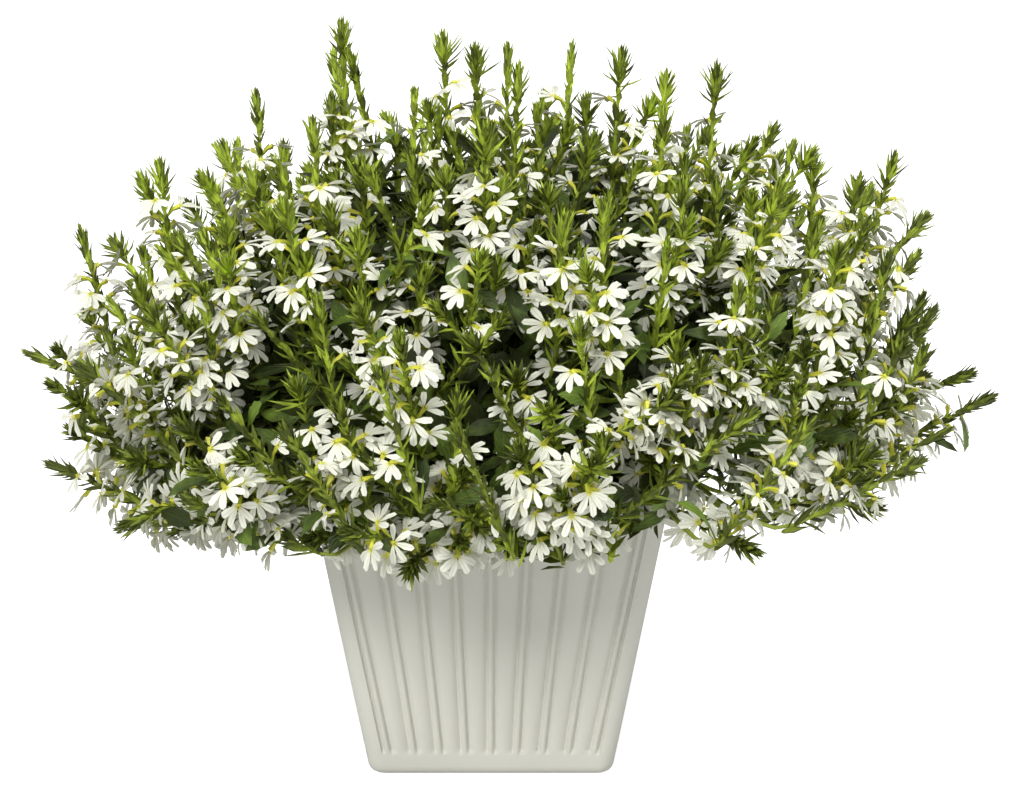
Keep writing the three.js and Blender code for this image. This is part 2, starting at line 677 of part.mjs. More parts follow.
// A head of bloom: a spiral of fans round the stem. Above, ridges run from each throat out to its petals
// and on to the next throat; below, the folds run between the notches. That gives each petal its thickness.
function headSolid(shoot, start) {
  const skin = new Skin();
  const turnStep = 360 / FANS_PER_TURN;
  const drop = PITCH / FANS_PER_TURN;
  const top = from(shoot.headBase, [shoot.end, HEAD_LENGTH - FIRST_FAN_DROP]);
  const radial = (turn) =>
    shoot.outer.clone().multiplyScalar(Math.cos(rad(turn))).addScaledVector(shoot.side, Math.sin(rad(turn)));
  const bounds = [];
  for (let b = 0; b <= FANS; b += 1) {
    const out = radial(start + (b - 0.5) * turnStep);
    const level = from(top, [shoot.end, -(b - 0.5) * drop]);
    const collar = skin.add(from(level, [out, COLLAR_RADIUS], [shoot.end, -COLLAR_DROP]));
    const notch = skin.add(from(level, [out, SHARED_NOTCH_RADIUS], [shoot.end, -SHARED_NOTCH_DROP]));
    bounds.push({ collar, notch });
  }
  let lastAbove = null;
  for (let f = 0; f < FANS; f += 1) {
    const out = radial(start + f * turnStep);
    const around = shoot.end.clone().cross(out);
    const slope = rad(FAN_SLOPE + FAN_SLOPE_VARIES * draw(shoot.index * FANS + f, DRAWN.fanSlope));
    const down = out.clone().multiplyScalar(Math.cos(slope)).addScaledVector(shoot.end, -Math.sin(slope));
    const normal = down.clone().cross(around).normalize();
    const throat = from(top, [shoot.end, -f * drop], [out, THROAT_RADIUS]);
    const spot = (turn, reach, lift) => {
      const ray = down.clone().applyAxisAngle(normal, rad(turn));
      return from(throat, [ray, reach], [normal, lift]);
    };
    const above = skin.add(spot(0, 0, THROAT_THICKNESS));
    const below = skin.add(spot(0, 0, -THROAT_THICKNESS));
    const side = (j) => (j % 2 === 0 && j < PETALS - 1 ? -PETAL_RIDGE : PETAL_RIDGE);
    const notches = [bounds[f].notch];
    for (let j = 1; j < PETALS; j += 1) {
      notches.push(skin.add(spot((j - PETALS / 2) * PETAL_STEP, NOTCH_REACH, -side(j - 1))));
    }
    notches.push(bounds[f + 1].notch);
    for (let j = 0; j < PETALS; j += 1) {
      const petal = (shoot.index * FANS + f) * PETALS + j;
      const middle = (j - (PETALS - 1) / 2) * PETAL_STEP + PETAL_TURN_VARIES * draw(petal, DRAWN.petalTurn);
      const reach = PETAL_LENGTH * (1 + PETAL_LENGTH_VARIES * draw(petal, DRAWN.petalLength));
      const a = skin.add(spot(middle - PETAL_HALF_ANGLE, reach, -side(j)));
      const b = skin.add(spot(middle + PETAL_HALF_ANGLE, reach, side(j)));
      const [m, n] = [notches[j], notches[j + 1]];
      if (side(j) < 0) {
        skin.faces.push([above, m, a], [above, a, n], [a, b, n], [m, b, a], [m, n, b], [below, n, m]);
      } else {
        skin.faces.push([above, m, b], [above, b, n], [m, a, b], [m, n, a], [a, n, b], [below, n, m]);
      }
    }
    const { collar: firstCollar, notch: firstNotch } = bounds[f];
    const { collar: nextCollar, notch: nextNotch } = bounds[f + 1];
    skin.faces.push([above, nextCollar, firstCollar], [below, firstCollar, nextCollar]);
    skin.faces.push([below, nextCollar, nextNotch], [below, firstNotch, firstCollar]);
    if (lastAbove === null) {
      skin.faces.push([above, firstCollar, firstNotch]);
    } else {
      skin.faces.push([lastAbove, firstNotch, above], [lastAbove, above, firstCollar]);
    }
    if (f === FANS - 1) {
      skin.faces.push([above, nextNotch, nextCollar]);
    }
    lastAbove = above;
  }
  return skin.solid();
}

// True when a solid keeps the clearance from each of the others.
function isClear(solid, others) {
  const box = solid.boundingBox();
  return others.every((other) => {
    const near = other.boundingBox();
    const apart = [0, 1, 2].some(
      (axis) => box.min[axis] > near.max[axis] + CLEARANCE || near.min[axis] > box.max[axis] + CLEARANCE,
    );
    return apart || solid.minGap(other, 2 * CLEARANCE) > CLEARANCE;
  });
}

// A shoot's head of bloom, turned round its stem until it is clear of what is near it.
function clearHead(shoot, obstacles) {
  const start = HEAD_TURN * draw(shoot.index, DRAWN.headTurn);
  for (let turn = 0; turn < 360; turn += HEAD_TURN_STEP) {
    const solid = headSolid(shoot, start + turn);
    if (isClear(solid, obstacles)) {
      return solid;
    }
  }
  throw new Error(`the head of shoot ${shoot.index} crosses another`);
}

// A shoot whose leaves stand on the first pair of sides that keeps them clear of every other node, with
// fewer leaves where none does.
function clearShoot(shoot, obstacles) {
  const order = [0, 1, 2].map((i) => (i + shoot.index) % 3);
  for (const first of [...order, null]) {
    for (const second of [...order, null]) {
      const solid = shootSolid(shoot, [first, second]);
      if (isClear(solid, obstacles)) {
        return solid;
      }
    }
  }
  return shootSolid(shoot, [null, null]);
}

const clay = new THREE.MeshStandardMaterial({ color: 0xcdcdc4, roughness: 0.75, metalness: 0 });
const compost = new THREE.MeshStandardMaterial({ color: 0x3a2a1e, roughness: 0.95, metalness: 0 });
const green = new THREE.MeshStandardMaterial({ color: 0x5f8428, roughness: 0.6, metalness: 0 });
const white = new THREE.MeshStandardMaterial({ color: 0xf3f2ea, roughness: 0.6, metalness: 0 });

const shoots = allShoots();
const pot = potSolid();
const soil = soilSolid();
const bareShoots = shoots.map((shoot) => shootSolid(shoot, [null, null]));
const branches = [];
for (let k = 0; k <= SECTORS; k += 1) {
  branches.push(wasm.Manifold.union([trunkSolid(k), k < SECTORS ? coreSolid(k) : capSolid()]));
}
const heads = [];
for (const shoot of shoots) {
  const stems = bareShoots.filter((_, index) => index !== shoot.index);
  heads.push(clearHead(shoot, [...heads, ...stems, ...branches]));
}
for (const shoot of shoots) {
  const others = branches.filter((_, k) => k !== shoot.branch);
  const solid = clearShoot(shoot, [pot, ...heads, ...others]);
  branches[shoot.branch] = branches[shoot.branch].add(solid);
}

const numbered = (name, k) => `${name}_${String(k + 1).padStart(2, "0")}`;
const plant = new THREE.Group();
plant.add(pieceOf("pot", pot, clay), pieceOf("soil", soil, compost));
branches.forEach((branch, k) => plant.add(pieceOf(numbered("branch", k), branch, green)));
heads.forEach((head, k) => plant.add(pieceOf(numbered("blooms", k), head, white)));

export default plant;
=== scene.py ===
"""A white fan flower in a square reeded pot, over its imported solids. Metres, +Z up, front towards -Y."""

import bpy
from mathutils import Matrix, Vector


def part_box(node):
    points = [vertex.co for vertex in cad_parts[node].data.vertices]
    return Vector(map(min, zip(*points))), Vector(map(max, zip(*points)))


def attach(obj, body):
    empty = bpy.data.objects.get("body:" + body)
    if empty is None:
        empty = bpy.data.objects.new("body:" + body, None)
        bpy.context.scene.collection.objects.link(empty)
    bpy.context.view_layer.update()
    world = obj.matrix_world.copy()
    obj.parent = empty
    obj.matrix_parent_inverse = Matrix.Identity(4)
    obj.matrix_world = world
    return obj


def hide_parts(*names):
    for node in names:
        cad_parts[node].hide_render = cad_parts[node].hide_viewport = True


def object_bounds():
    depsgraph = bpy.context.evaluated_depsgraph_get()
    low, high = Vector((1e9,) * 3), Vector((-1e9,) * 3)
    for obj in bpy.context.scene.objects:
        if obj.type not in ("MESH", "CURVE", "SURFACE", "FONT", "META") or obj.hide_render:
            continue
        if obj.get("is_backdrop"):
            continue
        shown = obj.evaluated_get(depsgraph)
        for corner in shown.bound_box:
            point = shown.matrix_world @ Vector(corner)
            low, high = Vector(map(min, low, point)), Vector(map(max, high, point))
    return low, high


bl_info = {
    "name": "Potted Fan Flower",
    "version": (1, 0, 0),
    "blender": (4, 5, 0),
    "location": "View3D > Sidebar > Fan Flower",
    "description": "Builds a mound of white fan flowers in a square reeded pot, piece by piece",
    "category": "Add Mesh",
}

import bpy
import numpy as np
from bpy.props import FloatProperty, FloatVectorProperty, IntProperty, PointerProperty
from bpy.types import Operator, Panel, PropertyGroup
from mathutils import Vector

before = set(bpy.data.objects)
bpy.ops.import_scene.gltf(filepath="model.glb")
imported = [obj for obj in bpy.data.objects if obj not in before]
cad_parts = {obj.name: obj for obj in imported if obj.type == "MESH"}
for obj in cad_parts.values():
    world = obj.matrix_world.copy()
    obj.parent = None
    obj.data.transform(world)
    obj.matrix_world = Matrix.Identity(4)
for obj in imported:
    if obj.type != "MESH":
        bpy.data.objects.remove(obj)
CAD_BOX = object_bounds()
POT_LOW, POT_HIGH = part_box("pot")
SOIL_LOW, SOIL_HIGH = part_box("soil")

BODY = "root"

# The plant: eight side branches round a middle one, on a crown above the soil
SEED = 7
SECTORS = 8
SECTOR_ANGLE = 360 / SECTORS
CROWN = np.array([0, 0, 0.170])
TRUNK_RING = 0.037
FORK_RING = 0.047
TRUNK_HEIGHT = 0.184
MIDDLE_TRUNK_HEIGHT = 0.194
TRUNK_DEPTH = 0.024
TRUNK_RADIUS = 0.0032
TRUNK_TAPER = 0.8
TRUNK_STEPS = 8
TRUNK_SIDES = 8
SOIL_TOP = 0.144

# A shoot: its straight end, the pulls and radii of its stem, the stem's last places and the tuft at its tip
HEAD_END = 0.081
STEM_START_PULL = 0.35
STEM_END_PULL = 0.25
STEM_STEPS = 11
STEM_SIDES = 5
STEM_ROOT_RADIUS = 0.0021
STEM_TIP_RADIUS = 0.0007
STEM_LAST = (0.05, 0.02, 0.004)
TUFT_LENGTH = 0.024

# Each row of planted shoots: turn within the sector, elevation of its tip above the crown, reach from the
# crown, lift of its end above level, height of its root on the trunk and first direction above level
ROWS = (
    (-10, -6, 0.222, -10, 0.172, 48),
    (11, 8, 0.252, 30, 0.174, 54),
    (-11, 25, 0.244, 58, 0.176, 60),
    (10, 40, 0.240, 72, 0.178, 66),
    (-2, 58, 0.234, 82, 0.182, 80),
)

# The most that draws change a planted shoot's turn, elevation, reach and lift, and what the lowest row's
# shoots at the pot's corners reach further
LOOSE = (3, 2.5, 0.007, 5)
CORNER_REACH = 0.016

# The shoots that draw the outline on the right and the left, by sector and row: turn, elevation, reach, lift
LEADERS = {
    (0, 1): (2, 4.8, 0.277, 26),
    (0, 2): (-5, 20, 0.246, 66),
    (0, 3): (4, 35.5, 0.269, 74),
    (0, 4): (-8, 60, 0.242, 86),
    (4, 1): (3, 11.6, 0.258, 24),
    (4, 2): (-6, 27, 0.252, 76),
    (4, 3): (8, 42, 0.239, 84),
    (4, 4): (2, 57, 0.230, 86),
}

# The middle branch's shoots: azimuth, elevation, reach, lift
MIDDLE_SHOOTS = (
    (182, 71, 0.244, 88),
    (115, 74, 0.226, 84),
    (50, 72, 0.222, 84),
    (-8, 72, 0.228, 86),
    (285, 75, 0.222, 82),
    (225, 87, 0.219, 88),
)
MIDDLE_ROOT = 0.176
MIDDLE_ROOT_STEP = 0.003
MIDDLE_START = 84
PLANTED = SECTORS * len(ROWS) + len(MIDDLE_SHOOTS)

# The shoots between the planted ones, by elevation: reach, lift and first direction
GOLDEN_ANGLE = 137.508
FILL_LOW = -5
FILL_TOP_SINE = 0.995
FILL_ELEVATION = (FILL_LOW, 8, 25, 40, 58, 74, 90)
FILL_REACH = (0.226, 0.243, 0.238, 0.234, 0.229, 0.219, 0.214)
FILL_LIFT = (14, 42, 63, 73, 81, 85, 88)
FILL_START = (50, 54, 60, 66, 80, 84, 86)
MIDDLE_ABOVE = 66

# How they depart from an even dome: degrees that its foot rises on the right and falls on the far sides,
# shares of the reach that its shoulders stand out, and metres that shoots end inside it or, a few, above it
FOOT_RIGHT = 14
FOOT_FAR_RIGHT = 12
FOOT_FAR_LEFT = 8
SHOULDER_RIGHT = 0.20
SHOULDER_LEFT = 0.11
LEAST_INSET = 0.006
TOP_INSET = 0.018
TALL_EXTRA = 0.034
TALL_DRAW = 0.78

# Degrees that their ends turn aside and lift more or less, and that those half way up lean out more
LEAN = 60
LIFT_SPREAD = 19
SIDE_LEAN = 4

# How low shoots pass the pot's rim: below this elevation, this far outside it and at this height
RIM_BELOW = 8
RIM_CLEARANCE = 0.010
RIM_PASS = 0.148
RIM_PASS_RIGHT = 0.010
CORNER_OF_RIM = 0.1326

# The share of shoots in flower that is added at the fringe and at the front, and taken off on the right
FRINGE_FLOWERING = 0.25
FRONT_FLOWERING = 0.14
RIGHT_FLOWERING = 0.06
FLOWERING_STEP = 0.345

# Numbers that keep the draws of different pieces apart
NUMBERS_EACH = 64
APRON_NUMBERS = 60000
SHADE_NUMBERS = 100000


def draw(index, purpose):
    """A repeatable draw from -1 to 1: the fraction of a large sine of both numbers, doubled, less one."""
    wave = np.sin(np.asarray(index) * 12.9898 + purpose * 78.233 + SEED) * 43758.5453
    return 2 * (wave - np.floor(wave)) - 1


def chance(index, purpose):
    """A repeatable draw from 0 to 1."""
    return 0.5 + 0.5 * draw(index, purpose)


def stacked(*values):
    """Arrays of coordinates or marks, spread to one shape and set side by side."""
    return np.stack(np.broadcast_arrays(*values), axis=-1)


def heading(azimuth, lift):
    """The unit directions at an azimuth and a lift above level, in degrees, as cosines and sines."""
    a, e = np.radians(azimuth), np.radians(lift)
    return stacked(np.cos(a) * np.cos(e), np.sin(a) * np.cos(e), np.sin(e))


def unit(vectors):
    """The vectors divided by their lengths."""
    return vectors / np.linalg.norm(vectors, axis=-1, keepdims=True)


def scaled(numbers, vectors):
    """Each vector times its own number."""
    return np.asarray(numbers)[..., None] * vectors


def between(low, high, share):
    """The value a share of the way from low to high."""
    return low + (high - low) * share


def smooth(low, high, value):
    """A soft step from 0 at low to 1 at high: three squares less two cubes of the share of the way."""
    share = np.clip((value - low) / (high - low), 0, 1)
    return share * share * (3 - 2 * share)


def trunk_point(branch, z):
    """Points on the trunks at heights z: straight from the foot's ring in the soil to the fork's ring."""
    side = np.asarray(branch) < SECTORS
    top = np.where(side, TRUNK_HEIGHT, MIDDLE_TRUNK_HEIGHT)
    share = np.clip((z - SOIL_TOP) / (top - SOIL_TOP), 0, 1)
    ring = np.where(side, between(TRUNK_RING, FORK_RING, share), 0)
    point = scaled(ring, heading(SECTOR_ANGLE * np.asarray(branch), 0))
    point[..., 2] = z
    return point


def planted_aims():
    """The solids' own shoots, as rows of index, branch, azimuth, elevation, reach, lift, root height and
    start: five rows up each sector, loosened by draws but for the leaders, and the middle branch's."""
    index = np.arange(SECTORS * len(ROWS))
    sector, row = np.divmod(index, len(ROWS))
    aims = np.array(ROWS)[row].T
    loose = np.ones(len(index))
    for (leading, place), aim in LEADERS.items():
        leader = leading * len(ROWS) + place
        aims[: len(aim), leader] = aim
        loose[leader] = 0
    aims[0] += SECTOR_ANGLE * sector
    aims[2] += CORNER_REACH * ((row == 0) & (sector % 2 == 1))
    for place, most in enumerate(LOOSE):
        aims[place] += most * loose * draw(index, place + 1)
    step = np.arange(len(MIDDLE_SHOOTS))
    root = MIDDLE_ROOT + MIDDLE_ROOT_STEP * step
    middle = np.broadcast_arrays(len(index) + step, SECTORS, *np.array(MIDDLE_SHOOTS).T, root, MIDDLE_START)
    return np.concatenate([np.concatenate([[index, sector], aims]), middle], axis=1)


def lattice(count, low, top_sine):
    """A golden-angle lattice of directions, even over the mound from an elevation up to one with that sine:
    their numbers, elevations and azimuths."""
    step = np.arange(count)
    rise = between(np.sin(np.radians(low)), top_sine, (step + 0.5) / count)
    return step, np.degrees(np.arcsin(rise)), GOLDEN_ANGLE * step


def branch_of(elevation, azimuth):
    """The branch in whose sector a direction lies, which is the middle one high up."""
    return np.where(elevation > MIDDLE_ABOVE, SECTORS, np.round(azimuth / SECTOR_ANGLE) % SECTORS)


def filling_aims(count, inset):
    """The shoots between, in the same rows: a lattice, but higher at its foot on the right and lower on the
    far sides. The reach is drawn in by up to the inset, and more at the top but for a few tall ones, and let
    out over the shoulders. Low ones are kept outside the pot's rim."""
    step, elevation, azimuth = lattice(count, FILL_LOW, FILL_TOP_SINE)
    index = PLANTED + step
    azimuth = (azimuth + 5 * draw(index, 1)) % 360
    sideways = np.cos(np.radians(azimuth))
    inwards = np.sin(np.radians(azimuth))
    foot = FOOT_RIGHT * smooth(0.1, 0.45, sideways) - FOOT_FAR_RIGHT * smooth(0.7, 0.95, sideways)
    foot = foot - FOOT_FAR_LEFT * smooth(0.7, 0.95, -sideways)
    elevation = elevation + foot * (1 - smooth(FILL_LOW, 30, elevation))
    lift = np.interp(elevation, FILL_ELEVATION, FILL_LIFT) - SIDE_LEAN * smooth(10, 30, elevation)
    lift = np.clip(lift + LIFT_SPREAD * draw(index, 4), FILL_LIFT[0] - 6, 90)
    tall = TALL_EXTRA * smooth(50, 60, elevation) * (draw(index, 8) > TALL_DRAW)
    depth = LEAST_INSET + inset * chance(index, 3) + TOP_INSET * smooth(40, 56, elevation) - tall
    reach = np.interp(elevation, FILL_ELEVATION, FILL_REACH) - depth
    right = SHOULDER_RIGHT * smooth(-12, 14, elevation) * (1 - smooth(41, 54, elevation))
    left = SHOULDER_LEFT * smooth(-16, 2, elevation) * (1 - smooth(34, 50, elevation))
    reach = reach * (1 + np.where(sideways > 0, right, left) * sideways**2)
    rim = np.minimum(POT_HIGH.x / np.maximum(abs(sideways), abs(inwards)), CORNER_OF_RIM)
    outside = rim + RIM_CLEARANCE + HEAD_END * np.cos(np.radians(lift))
    reach = np.where(elevation < RIM_BELOW, np.maximum(reach, outside), reach)
    lowest = RIM_PASS + RIM_PASS_RIGHT * smooth(0.1, 0.5, sideways)
    fall = reach * np.sin(np.radians(elevation)) + CROWN[2] - lowest
    lift = np.minimum(lift, np.degrees(np.arcsin(np.clip(fall / HEAD_END, -0.3, 1))))
    root = between(0.172, 0.183, chance(index, 5))
    start = np.interp(elevation, FILL_ELEVATION, FILL_START)
    return np.stack([index, branch_of(elevation, azimuth), azimuth, elevation, reach, lift, root, start])


def stem_curves(aims):
    """What each shoot is made on, by name. Its tip stands at its reach from the crown, its end is a straight
    line, and a cubic Bezier leads from its root to the foot of that line, with a shorter pull at that end
    where a shoot between stands steep."""
    index, branch, azimuth, elevation, reach, lift, root_height, start = aims
    branch = branch.astype(int)
    planted = index < PLANTED
    tip = CROWN + scaled(reach, heading(azimuth, elevation))
    leaning = azimuth + np.where(planted, 0, LEAN * draw(index, 6))
    end = heading(leaning, lift)
    side = heading(leaning + 90, 0)
    head = tip - HEAD_END * end
    root = trunk_point(branch, root_height)
    away = head - root
    span = np.linalg.norm(away, axis=1)
    pull = STEM_END_PULL * span * np.where(planted, 1, between(0.15, 1, np.cos(np.radians(lift)) ** 2))
    leaving = heading(np.degrees(np.arctan2(away[:, 1], away[:, 0])), start)
    handles = [root, root + scaled(STEM_START_PULL * span, leaving), head - scaled(pull, end), head]
    return {
        "index": index.astype(int),
        "branch": branch,
        "elevation": elevation,
        "tuft": np.where(planted, TUFT_LENGTH, between(0.55, 1, chance(index, 7)) * TUFT_LENGTH),
        "tip": tip,
        "end": end,
        "side": side,
        "outer": np.cross(side, end),
        "handles": np.stack(handles, axis=1),
    }


def only(shoots, mask):
    """The shoots that the mask picks."""
    return {name: values[mask] for name, values in shoots.items()}


def curve_at(shoots, t):
    """Points and directions on each shoot's Bezier at the places t, which has a row for each shoot."""
    p0, p1, p2, p3 = (shoots["handles"][:, None, i] for i in range(4))
    s = t[..., None]
    point = (1 - s) ** 3 * p0 + 3 * s * (1 - s) ** 2 * p1 + 3 * s * s * (1 - s) * p2 + s**3 * p3
    speed = (1 - s) ** 2 * (p1 - p0) + 2 * s * (1 - s) * (p2 - p1) + s * s * (p3 - p2)
    return point, unit(speed)


def lofts(rings, first, last, marks):
    """N closed surfaces, each from m rings of k points with a pole at both ends: triangles run from ring to
    ring, and as fans to the poles. marks holds three numbers for each point of the rings."""
    n, m, k, _ = rings.shape
    points = np.concatenate([first[:, None], rings.reshape(n, m * k, 3), last[:, None]], axis=1)
    ends = marks[:, [0, -1]].mean(axis=2)
    values = np.concatenate([ends[:, :1], marks.reshape(n, m * k, 3), ends[:, 1:]], axis=1)
    ring = 1 + np.arange(m * k).reshape(m, k)
    after = np.roll(ring, -1, axis=1)
    lower = np.stack([ring[:-1], after[:-1], after[1:]], axis=-1).reshape(-1, 3)
    upper = np.stack([ring[:-1], after[1:], ring[1:]], axis=-1).reshape(-1, 3)
    start = np.stack([np.zeros(k, int), after[0], ring[0]], axis=-1)
    finish = np.stack([np.full(k, m * k + 1), ring[-1], after[-1]], axis=-1)
    faces = np.concatenate([start, lower, upper, finish])
    faces = faces[None] + (m * k + 2) * np.arange(n)[:, None, None]
    return points.reshape(-1, 3), faces.reshape(-1, 3), values.reshape(-1, 3)


def tubes(path, along, side, radius, sides, tone):
    """Round tubes along N paths of m points: each ring is a circle of the radius there, square to the path,
    counted from the direction across both the path and the side."""
    along = np.broadcast_to(along, path.shape)
    radius = np.broadcast_to(radius, path.shape[:2])
    x = unit(np.cross(side, along))
    y = np.cross(along, x)
    angle = 2 * np.pi * np.arange(sides) / sides
    circle = np.cos(angle)[:, None] * x[:, :, None] + np.sin(angle)[:, None] * y[:, :, None]
    rings = path[:, :, None] + radius[..., None, None] * circle
    marks = stacked(np.linspace(0, 1, path.shape[1])[:, None], np.arange(sides) / sides, tone[:, None, None])
    first = path[:, 0] - scaled(radius[:, 0] / 2, along[:, 0])
    last = path[:, -1] + scaled(radius[:, -1] / 2, along[:, -1])
    return lofts(rings, first, last, marks)


# The section of a blade, as shares of the half width to the side and of half the thickness to the face: flat
# on top with a keel below, or with a crease on both sides
KEELED = ((-1, 0), (0, -1), (1, 0))
CREASED = ((-1, 0), (0, -1), (1, 0), (0, 1))


def blades(own, outline, section, thickness, fold):
    """N thin blades on arcs, each with its own seat, direction, face, length, width, bend and tone. The
    middle line leaves the seat along its direction and turns from the face by the bend, in radians. Each
    ring is the section, as wide as the outline's share of the width there, with its sides lifted by fold
    times their distance from the middle."""
    seat, along, face, length, width, bend, tone = own
    u, share = np.array(outline).T
    along = unit(along)
    across = unit(np.cross(face, along))
    face = np.cross(along, across)
    bend = np.where(np.abs(bend) < 1e-3, 1e-3, bend)
    angle = bend[:, None] * np.append(u, 1)
    ahead = scaled(np.sin(angle) / bend[:, None], along[:, None])
    fall = scaled((1 - np.cos(angle)) / bend[:, None], face[:, None])
    middle = seat[:, None] + length[:, None, None] * (ahead - fall)
    normal = scaled(np.cos(angle), face[:, None]) + scaled(np.sin(angle), along[:, None])
    sideways, deep = np.array(section).T
    half = 0.5 * width[:, None] * share
    out = half[..., None] * sideways
    rise = fold * np.abs(out) + 0.5 * thickness * (1 - 0.6 * u)[:, None] * deep
    rings = middle[:, :-1, None] + scaled(out, across[:, None, None]) + scaled(rise, normal[:, :-1, None])
    marks = stacked(u[:, None], (sideways + 1) / 2, tone[:, None, None])
    points, faces, values = lofts(rings, seat, middle[:, -1], marks)
    values = values.reshape(len(seat), len(u) * len(section) + 2, 3)
    values[:, 0, 0] = 0
    values[:, -1, 0] = 1
    return points, faces, values.reshape(-1, 3)


SHARP_ANGLE = 40


def new_object(name, data):
    """A new object in the scene, at the origin."""
    item = bpy.data.objects.new(name, data)
    bpy.context.scene.collection.objects.link(item)
    return item


def make_piece(name, parts, materials, replaced):
    """A mesh object from parts, each of points, triangles, their marks and a material's number. The marks go
    into the attribute 'place', and sharp edges stay hard."""
    starts = np.cumsum([0] + [len(part[0]) for part in parts[:-1]])
    points, marks = (np.concatenate([part[i] for part in parts]) for i in (0, 2))
    faces = np.concatenate([part[1] + start for part, start in zip(parts, starts)])
    number = np.concatenate([np.full(len(part[1]), part[3]) for part in parts])
    mesh = bpy.data.meshes.new(name)
    mesh.vertices.add(len(points))
    mesh.vertices.foreach_set("co", points.astype(np.float32).ravel())
    mesh.loops.add(faces.size)
    mesh.loops.foreach_set("vertex_index", faces.astype(np.int32).ravel())
    mesh.polygons.add(len(faces))
    mesh.polygons.foreach_set("loop_start", np.arange(0, faces.size, 3, dtype=np.int32))
    mesh.polygons.foreach_set("material_index", number.astype(np.int32))
    mesh.update(calc_edges=True)
    place = mesh.attributes.new("place", "FLOAT_VECTOR", "POINT")
    place.data.foreach_set("vector", marks.astype(np.float32).ravel())
    mesh.shade_smooth()
    mesh.set_sharp_from_angle(angle=np.radians(SHARP_ANGLE))
    for material in materials:
        mesh.materials.append(material)
    piece = new_object(name, mesh)
    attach(piece, BODY)
    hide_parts(*replaced)
    return piece


# Materials: a shader node group for each effect that several finishes share
SHADER = "Principled BSDF"
GLOW_ON_PLANT = 0.1
LEAST_LIGHT = 0.25


def new_group(name, inputs, outputs):
    """An empty shader node group, with a colour or a number as each input and output, by its label."""
    group = bpy.data.node_groups.new(name, "ShaderNodeTree")
    for way, labels in (("INPUT", inputs), ("OUTPUT", outputs)):
        for label in labels:
            kind = "NodeSocketColor" if label == "Colour" else "NodeSocketFloat"
            group.interface.new_socket(label, in_out=way, socket_type=kind)
    return group, group.nodes.new("NodeGroupInput"), group.nodes.new("NodeGroupOutput")


def add(tree, kind, links=(), **settings):
    """A new node in a tree, with its properties set, and its inputs linked or given by pairs of both."""
    node = tree.nodes.new(kind)
    for name, value in settings.items():
        setattr(node, name, value)
    for name, source in links:
        if isinstance(source, bpy.types.NodeSocket):
            tree.links.new(source, node.inputs[name])
        else:
            node.inputs[name].default_value = source
    return node


def calc(tree, operation, *values):
    """The result of a Math node on up to three values or sockets."""
    return add(tree, "ShaderNodeMath", enumerate(values), operation=operation).outputs[0]


def mixed(tree, factor, first, second, blend="MIX"):
    """The colour between two colours or sockets."""
    links = [(0, factor), (6, first), (7, second)]
    return add(tree, "ShaderNodeMix", links, data_type="RGBA", blend_type=blend).outputs[2]


def stepped(tree, value, low, high):
    """A soft mask from 0 at low to 1 at high, which may be the smaller number."""
    links = [("Value", value), ("From Min", low), ("From Max", high)]
    return add(tree, "ShaderNodeMapRange", links, interpolation_type="SMOOTHSTEP").outputs["Result"]


def place_group(name):
    """The group that reads a blade's or tube's place: the share along it, off its middle, and its tone."""
    labels = ("Along", "Off Middle", "Tone")
    group, _, out = new_group(name, (), labels)
    marks = add(group, "ShaderNodeAttribute", attribute_name="place", attribute_type="GEOMETRY")
    x, y, z = add(group, "ShaderNodeSeparateXYZ", [("Vector", marks.outputs["Vector"])]).outputs
    off = calc(group, "ABSOLUTE", calc(group, "MULTIPLY_ADD", y, 2.0, -1.0))
    for label, source in zip(labels, (x, off, z)):
        group.links.new(source, out.inputs[label])


def mottle_group(name):
    """The group that varies a colour: darker and lighter patches of noise about a tone, by an amount."""
    inputs = ("Colour", "Scale", "Amount", "Tone")
    group, given, out = new_group(name, inputs, ("Colour", "Noise"))
    colour, scale, amount, tone = (given.outputs[label] for label in inputs)
    where = add(group, "ShaderNodeTexCoord").outputs["Object"]
    links = [("Vector", where), ("Scale", scale), ("Detail", 3.0)]
    noise = add(group, "ShaderNodeTexNoise", links).outputs["Fac"]
    patch = calc(group, "ADD", calc(group, "MULTIPLY_ADD", noise, 2.0, -1.0), tone)
    light = calc(group, "MAXIMUM", calc(group, "MULTIPLY_ADD", patch, amount, 1.0), LEAST_LIGHT)
    grey = add(group, "ShaderNodeCombineColor", [(label, light) for label in ("Red", "Green", "Blue")])
    varied = mixed(group, 1.0, colour, grey.outputs["Color"], "MULTIPLY")
    group.links.new(varied, out.inputs["Colour"])
    group.links.new(noise, out.inputs["Noise"])


def shared(tree, name, fill, links=()):
    """The outputs of a node that holds the group of that name, which is filled at its first use."""
    if name not in bpy.data.node_groups:
        fill(name)
    return add(tree, "ShaderNodeGroup", links, node_tree=bpy.data.node_groups[name]).outputs


def own_place(tree):
    """The share along a blade or tube, the distance from its middle, and its tone."""
    return shared(tree, "Own Place", place_group)


def mottled(tree, colour, scale, amount, tone=0.0):
    """A colour in patches, and their noise."""
    links = [("Colour", colour), ("Scale", scale), ("Amount", amount), ("Tone", tone)]
    return shared(tree, "Mottle", mottle_group, links)


def rgba(colour):
    """A colour with full alpha."""
    return (*colour, 1.0)


def new_material(name, **values):
    """A material with one Principled BSDF, whose constants are set on its own sockets, and its tree."""
    material = bpy.data.materials.new(name)
    material.use_nodes = True
    for label, value in values.items():
        material.node_tree.nodes[SHADER].inputs[label.replace("_", " ")].default_value = value
    return material, material.node_tree


def surface(material, colour, height, strength, distance):
    """The material, given its colour, and relief from a height by a Bump node."""
    tree = material.node_tree
    links = [("Height", height), ("Strength", strength), ("Distance", distance)]
    tree.links.new(colour, tree.nodes[SHADER].inputs["Base Color"])
    tree.links.new(add(tree, "ShaderNodeBump", links).outputs["Normal"], tree.nodes[SHADER].inputs["Normal"])
    return material


